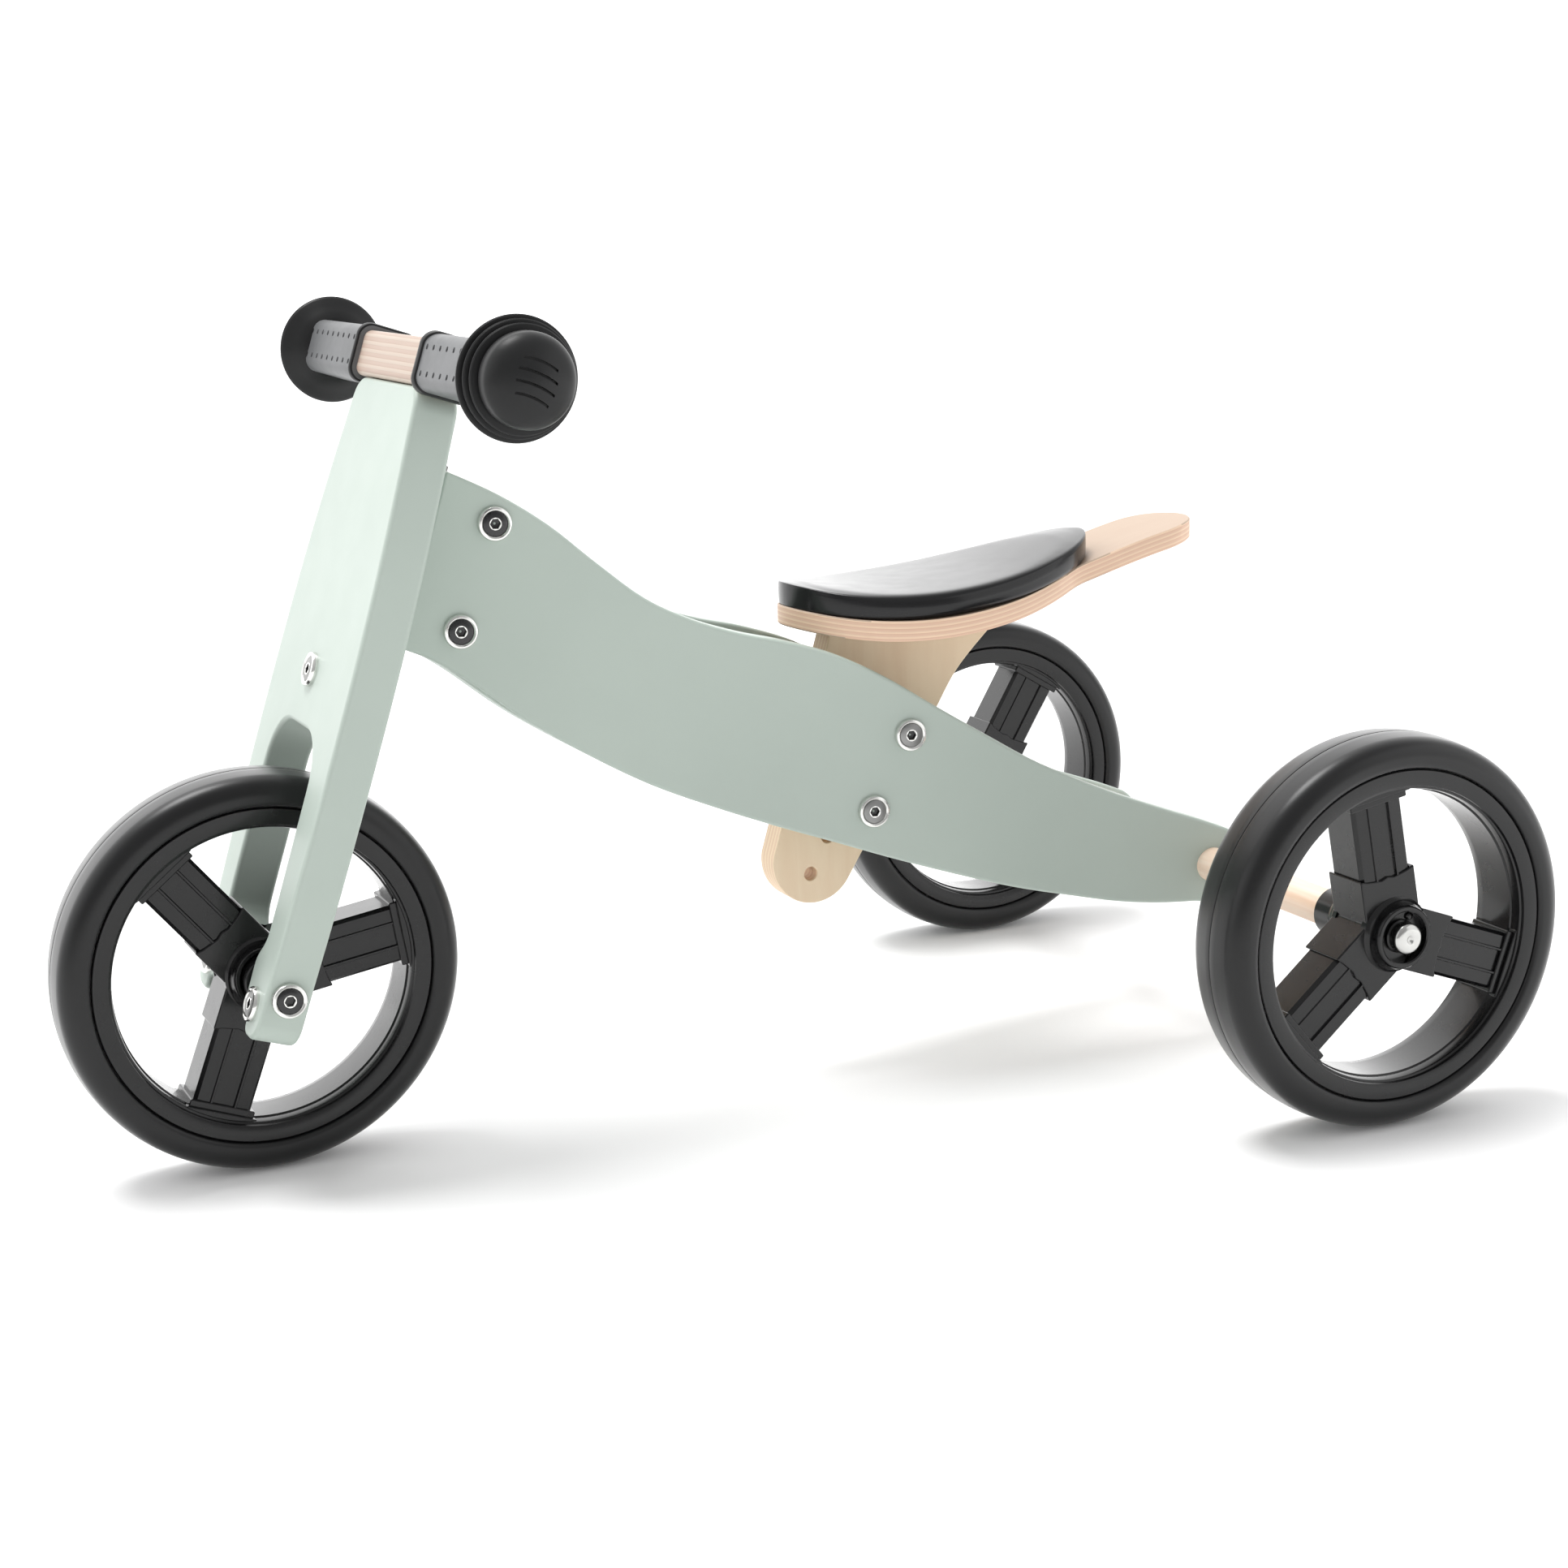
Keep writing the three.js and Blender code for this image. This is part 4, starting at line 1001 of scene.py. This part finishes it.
def rear_axle():
    """The dowel, and at each end the black spacer and the bolt that a wheel turns on."""
    half = size("rear_axle_dowel").y / 2
    radius = size("rear_axle_dowel").x / 2
    ease = 0.8 * MM
    profile = [(0, -half), (radius - ease, -half), (radius, ease - half), (radius, half - ease),
               (radius - ease, half), (0, half)]
    along = Matrix.Translation(centre("rear_axle_dowel")) @ ACROSS
    dowel = turned("rear_axle_wood", profile, along, DOWEL, 64)
    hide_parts("rear_axle_dowel")
    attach(dowel, "frame")
    for name, side in (("left", -1), ("right", 1)):
        node = f"rear_spacer_{name}"
        low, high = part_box(node)
        inner, outer = sorted((abs(low.y), abs(high.y)))
        matrix = Matrix.Translation(REAR_AXLE) @ Matrix.Rotation(-side * math.pi / 2, 4, "X")
        r = (high.x - low.x) / 2
        mouth = [(radius + 0.3 * MM, inner + 2 * MM), (radius + 0.4 * MM, inner + 0.3 * MM)]
        wall = [(r - 0.7 * MM, inner), (r, inner + 0.7 * MM), (r, outer - 5 * MM),
                (r - 0.8 * MM, outer - 4 * MM)]
        nose = [(10 * MM, outer - 3.5 * MM), (9.4 * MM, outer), (4.4 * MM, outer)]
        cap = turned(f"{node}_cap", mouth + wall + nose, matrix, BLACK, 64)
        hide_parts(node)
        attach(cap, "frame")
        wheel_bolt(name, matrix)


def spacer_tube(node, body):
    """A plain tube with eased rims that keeps two pieces apart."""
    r = size(node).x / 2
    half = size(node).y / 2 - 0.4 * MM
    bore = 4.2 * MM
    ease = 0.6 * MM
    profile = [(bore, -half), (r - ease, -half), (r, ease - half), (r, half - ease), (r - ease, half),
               (bore, half), (bore, -half)]
    along = Matrix.Translation(centre(node)) @ ACROSS
    tube = turned(f"{node}_tube", profile, along, BLACK, 48)
    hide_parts(node)
    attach(tube, body)


def wheel_bolt(name, matrix):
    """The domed, dimpled head of the bolt that a rear wheel turns on."""
    node = f"rear_wheel_bolt_{name}"
    low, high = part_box(node)
    top = max(abs(low.y), abs(high.y))
    r = (high.x - low.x) / 2
    profile = [(0, top - 0.9 * MM), (1.0 * MM, top - 0.8 * MM), (1.7 * MM, top - 0.25 * MM), (2.2 * MM, top),
               (r - 1.8 * MM, top - 0.2 * MM), (r - 0.6 * MM, top - 0.9 * MM), (r - 0.1 * MM, top - 1.8 * MM),
               (r, top - 2.6 * MM), (r, top - 6 * MM), (4 * MM, top - 6 * MM), (4 * MM, top - 9 * MM)]
    bolt = turned(f"{node}_head", profile, matrix, BOLT_STEEL, 64)
    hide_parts(node)
    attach(bolt, "frame")


# ---------- wheels ----------


def both_sides(profile):
    """A closed profile from one whose points run on the +height side, mirrored to the other side."""
    return profile + [(r, -h) for r, h in reversed(profile)]


def tyre_profile():
    """Half of a tyre's section, from the groove at the rim to the mould line round the tread."""
    shoulder = 9.5 * MM
    r = TYRE_RADIUS
    w = TYRE_HALF_WIDTH
    groove = [(RIM_RADIUS - 0.2 * MM, w - 4 * MM), (RIM_RADIUS + 0.35 * MM, w - 2.4 * MM),
              (RIM_RADIUS + 0.7 * MM, w - 1.0 * MM), (RIM_RADIUS + 1.4 * MM, w - 0.35 * MM),
              (RIM_RADIUS + 3 * MM, w - 0.05 * MM)]
    corner = arc((r - 0.7 * MM - shoulder, w - shoulder), shoulder, 90, 8, 14)
    crown = [(r - 0.5 * MM, w - shoulder - 2 * MM), (r - 0.15 * MM, 4 * MM), (r, 0.6 * MM),
             (r - 0.05 * MM, 0.35 * MM), (r - 0.35 * MM, 0.12 * MM)]
    return groove + corner + crown


# Half of the rim's section, and one side of the hub with its sunk bush, as [radius, height] in millimetres.
RIM_SECTION = [(76.7, 0), (79.7, 14.6), (79.6, 17.1), (79.1, 17.6), (72.4, 17.6), (71.8, 17.3), (71.3, 16),
               (70.4, 15.6), (70.1, 14.8), (69.9, 10.6), (69.2, 10), (69, 0)]
HUB_SECTION = [(18.6, 10), (18.2, 13.2), (17.2, 14), (16.2, 15.4), (15.6, 17.5), (15.1, 19.9), (14.5, 20.5),
               (13.1, 20.5), (12.5, 20), (12.3, 15.5), (8.2, 15.5), (8, 17.2), (7.2, 17.8), (4.2, 17.8)]
RECESS_FLOOR = 15.5 * MM
BUMP = [(2, 0), (1.9, 0.9), (1.4, 1.3), (0, 1.5)]
BUMP_CIRCLE = 10.2 * MM
HUB_SLEEVE_DEPTH = 26 * MM

# One wide face of a spoke, across and deep in millimetres: a flat with two raised ribs.
SPOKE_FACE = [(-14, 9.8), (-12.4, 11.7), (-6.6, 12), (-6.2, 12.7), (-5.4, 12.7), (-4.9, 11.5), (4.9, 11.5),
              (5.4, 12.7), (6.2, 12.7), (6.6, 12), (12.4, 11.7), (14, 9.8)]


def spoke_section():
    face = in_metres(SPOKE_FACE)
    return face + [(-x, -y) for x, y in face]


def collar(half_width, half_depth, start, end, matrix):
    """A square collar round a spoke's outer end, all sizes in millimetres."""
    w, d = half_width, half_depth
    section = in_metres([(-w, -d), (w, -d), (w, d), (-w, d)])
    return eased(prism("collar", section, start * MM, end * MM, matrix, BLACK), 0.7 * MM, 2)


def hub_sleeve(spin):
    """The Y-shaped sleeve that holds the three spokes, with gently waved ends."""
    half = 15.2 * MM
    root = half / math.tan(math.radians(60))
    arm = [(half, root), (half, 30.5 * MM), (half - 4 * MM, 29.2 * MM), (3.5 * MM, 28 * MM), (0, 28.8 * MM),
           (-3.5 * MM, 28 * MM), (4 * MM - half, 29.2 * MM), (-half, 30.5 * MM)]
    outline = []
    for i in range(3):
        turn = -math.radians(120 * i)
        c, s = math.cos(turn), math.sin(turn)
        outline += [(x * c + y * s, y * c - x * s) for x, y in arm]
    sleeve = board("sleeve", outline, HUB_SLEEVE_DEPTH, spin @ SIDE_VIEW, BLACK)
    return eased(sleeve, 0.8 * MM, 2, 30)


def wheel(name):
    """A foam tyre on one moulding: rim, two-sided hub with bushes, Y-shaped sleeve, spokes and collars."""
    hub = HUBS[name]
    body = WHEEL_BODY[name]
    along = Matrix.Translation(hub) @ ACROSS
    spin = Matrix.Translation(hub) @ Matrix.Rotation(WHEEL_TURN[name], 4, "Y")
    closed = both_sides(tyre_profile())
    tyre = turned(f"{name}_tyre_foam", closed + closed[:1], along, TYRE, 192)
    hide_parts(f"{name}_tyre")
    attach(tyre, body)
    closed = both_sides(in_metres(RIM_SECTION))
    parts = [turned("rim", closed + closed[:1], along, BLACK, 192)]
    for side in (-1, 1):
        outward = Matrix.Translation(hub) @ Matrix.Rotation(-side * math.pi / 2, 4, "X")
        parts.append(turned("hub", in_metres(HUB_SECTION), outward, BLACK, 96))
        for i in range(3):
            angle = math.radians(120 * i + 60)
            at = (BUMP_CIRCLE * math.cos(angle), BUMP_CIRCLE * math.sin(angle), RECESS_FLOOR)
            place = outward @ Matrix.Translation(at)
            parts.append(turned("bump", in_metres(BUMP), place, BLACK, 24))
    parts.append(hub_sleeve(spin))
    for i in range(3):
        arm = spin @ Matrix.Rotation(math.radians(120 * i), 4, "Y")
        parts.append(prism("spoke", spoke_section(), 10 * MM, 70 * MM, arm, BLACK))
        parts.append(collar(15.75, 13.25, 64.5, 70.5, arm))
        parts.append(collar(17.25, 15, 67.6, 70.8, arm))
    rim = merged(f"{name}_wheel_moulding", parts)
    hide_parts(f"{name}_rim", f"{name}_bush_left", f"{name}_bush_right")
    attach(rim, body)


# ---------- stage, light and camera ----------

BIKE_MIDDLE = Vector((0, 0, 0.18))


def stage():
    bpy.ops.mesh.primitive_plane_add(size=1, location=(0, 0, 0))
    floor = bpy.context.object
    floor.name = "floor"
    floor.scale = (14, 14, 1)
    s = Shader("floor_white", (0.88, 0.88, 0.88), 0.9, specular=0.05)
    s.fixed({"Emission Color": (1, 1, 1, 1), "Emission Strength": 0.05})
    floor.data.materials.append(s.material)
    studio_world()
    add_sun("overhead", (-0.2, 0.2, 1.0), 2.0, 24)
    add_sun("front", (-1.0, -0.05, 0.45), 0.25, 45)
    add_area("rear_fill", (1.9, -1.5, 1.0), 2.2, 14)


def studio_world():
    """White behind and above the bike, dimmer towards the side the photographer stands on."""
    world = bpy.data.worlds.new("studio")
    bpy.context.scene.world = world
    world.use_nodes = True
    nodes = world.node_tree.nodes
    links = world.node_tree.links
    place = nodes.new("ShaderNodeTexCoord")
    split = nodes.new("ShaderNodeSeparateXYZ")
    total = nodes.new("ShaderNodeMath")
    links.new(place.outputs["Generated"], split.inputs["Vector"])
    for index, (axis, *limits) in enumerate((("Y", -0.2, 0.75, 0.42, 1.9), ("Z", 0.15, 0.9, 0.0, 0.15))):
        level = nodes.new("ShaderNodeMapRange")
        for socket, value in zip(("From Min", "From Max", "To Min", "To Max"), limits):
            level.inputs[socket].default_value = value
        links.new(split.outputs[axis], level.inputs["Value"])
        links.new(level.outputs["Result"], total.inputs[index])
    links.new(total.outputs[0], nodes["Background"].inputs["Strength"])
    nodes["Background"].inputs["Color"].default_value = (1, 1, 1, 1)


def add_sun(name, towards, strength, spread):
    """A soft sun whose light comes from the direction given."""
    data = bpy.data.lights.new(name, "SUN")
    data.energy = strength
    data.angle = math.radians(spread)
    hang(name, data, towards, Vector(towards))


def add_area(name, at, width, power):
    """A square lamp aimed at the middle of the bike."""
    data = bpy.data.lights.new(name, "AREA")
    data.size = width
    data.energy = power
    hang(name, data, at, Vector(at) - BIKE_MIDDLE)


def hang(name, data, at, away):
    """Places a light that shines against the direction away."""
    light = bpy.data.objects.new(name, data)
    bpy.context.scene.collection.objects.link(light)
    light.location = at
    light.rotation_euler = away.to_track_quat("Z", "Y").to_euler()


CAMERA_AT = (-0.5122, -1.2087, 0.4437)
CAMERA_YAW = math.radians(24.06)
CAMERA_PITCH = math.radians(12.44)
CAMERA_ROLL = math.radians(-1.51)


def camera():
    data = bpy.data.cameras.new("camera")
    data.lens = 61.765
    data.sensor_width = 36
    data.clip_start = 0.05
    view = bpy.data.objects.new("camera", data)
    bpy.context.scene.collection.objects.link(view)
    aim = Matrix.Rotation(-CAMERA_YAW, 4, "Z") @ Matrix.Rotation(math.pi / 2 - CAMERA_PITCH, 4, "X")
    view.matrix_world = Matrix.Translation(CAMERA_AT) @ aim @ Matrix.Rotation(CAMERA_ROLL, 4, "Z")
    bpy.context.scene.camera = view


# ---------- build ----------

bpy.context.scene.view_settings.view_transform = "Standard"
camera()
stage()
side_panels()
fork_board()
repaint(["head_block"], SAGE)
repaint(["hinge_leaf", "hinge_screw_lower", "hinge_screw_upper", "steering_pin"], STEEL)
handlebar()
grips()
seat_board()
seat_pad()
seat_post()
rear_axle()
for wheel_name in HUBS:
    wheel(wheel_name)
frame_bolts()
steering_bolts()
for spacer_level in ("upper", "lower"):
    for spacer_side in ("left", "right"):
        spacer_tube(f"post_spacer_{spacer_level}_{spacer_side}", "frame")
for spacer_side in ("left", "right"):
    spacer_tube(f"front_spacer_{spacer_side}", "steering")
repaint(["bar_screw_left", "bar_screw_right"], NICKEL)
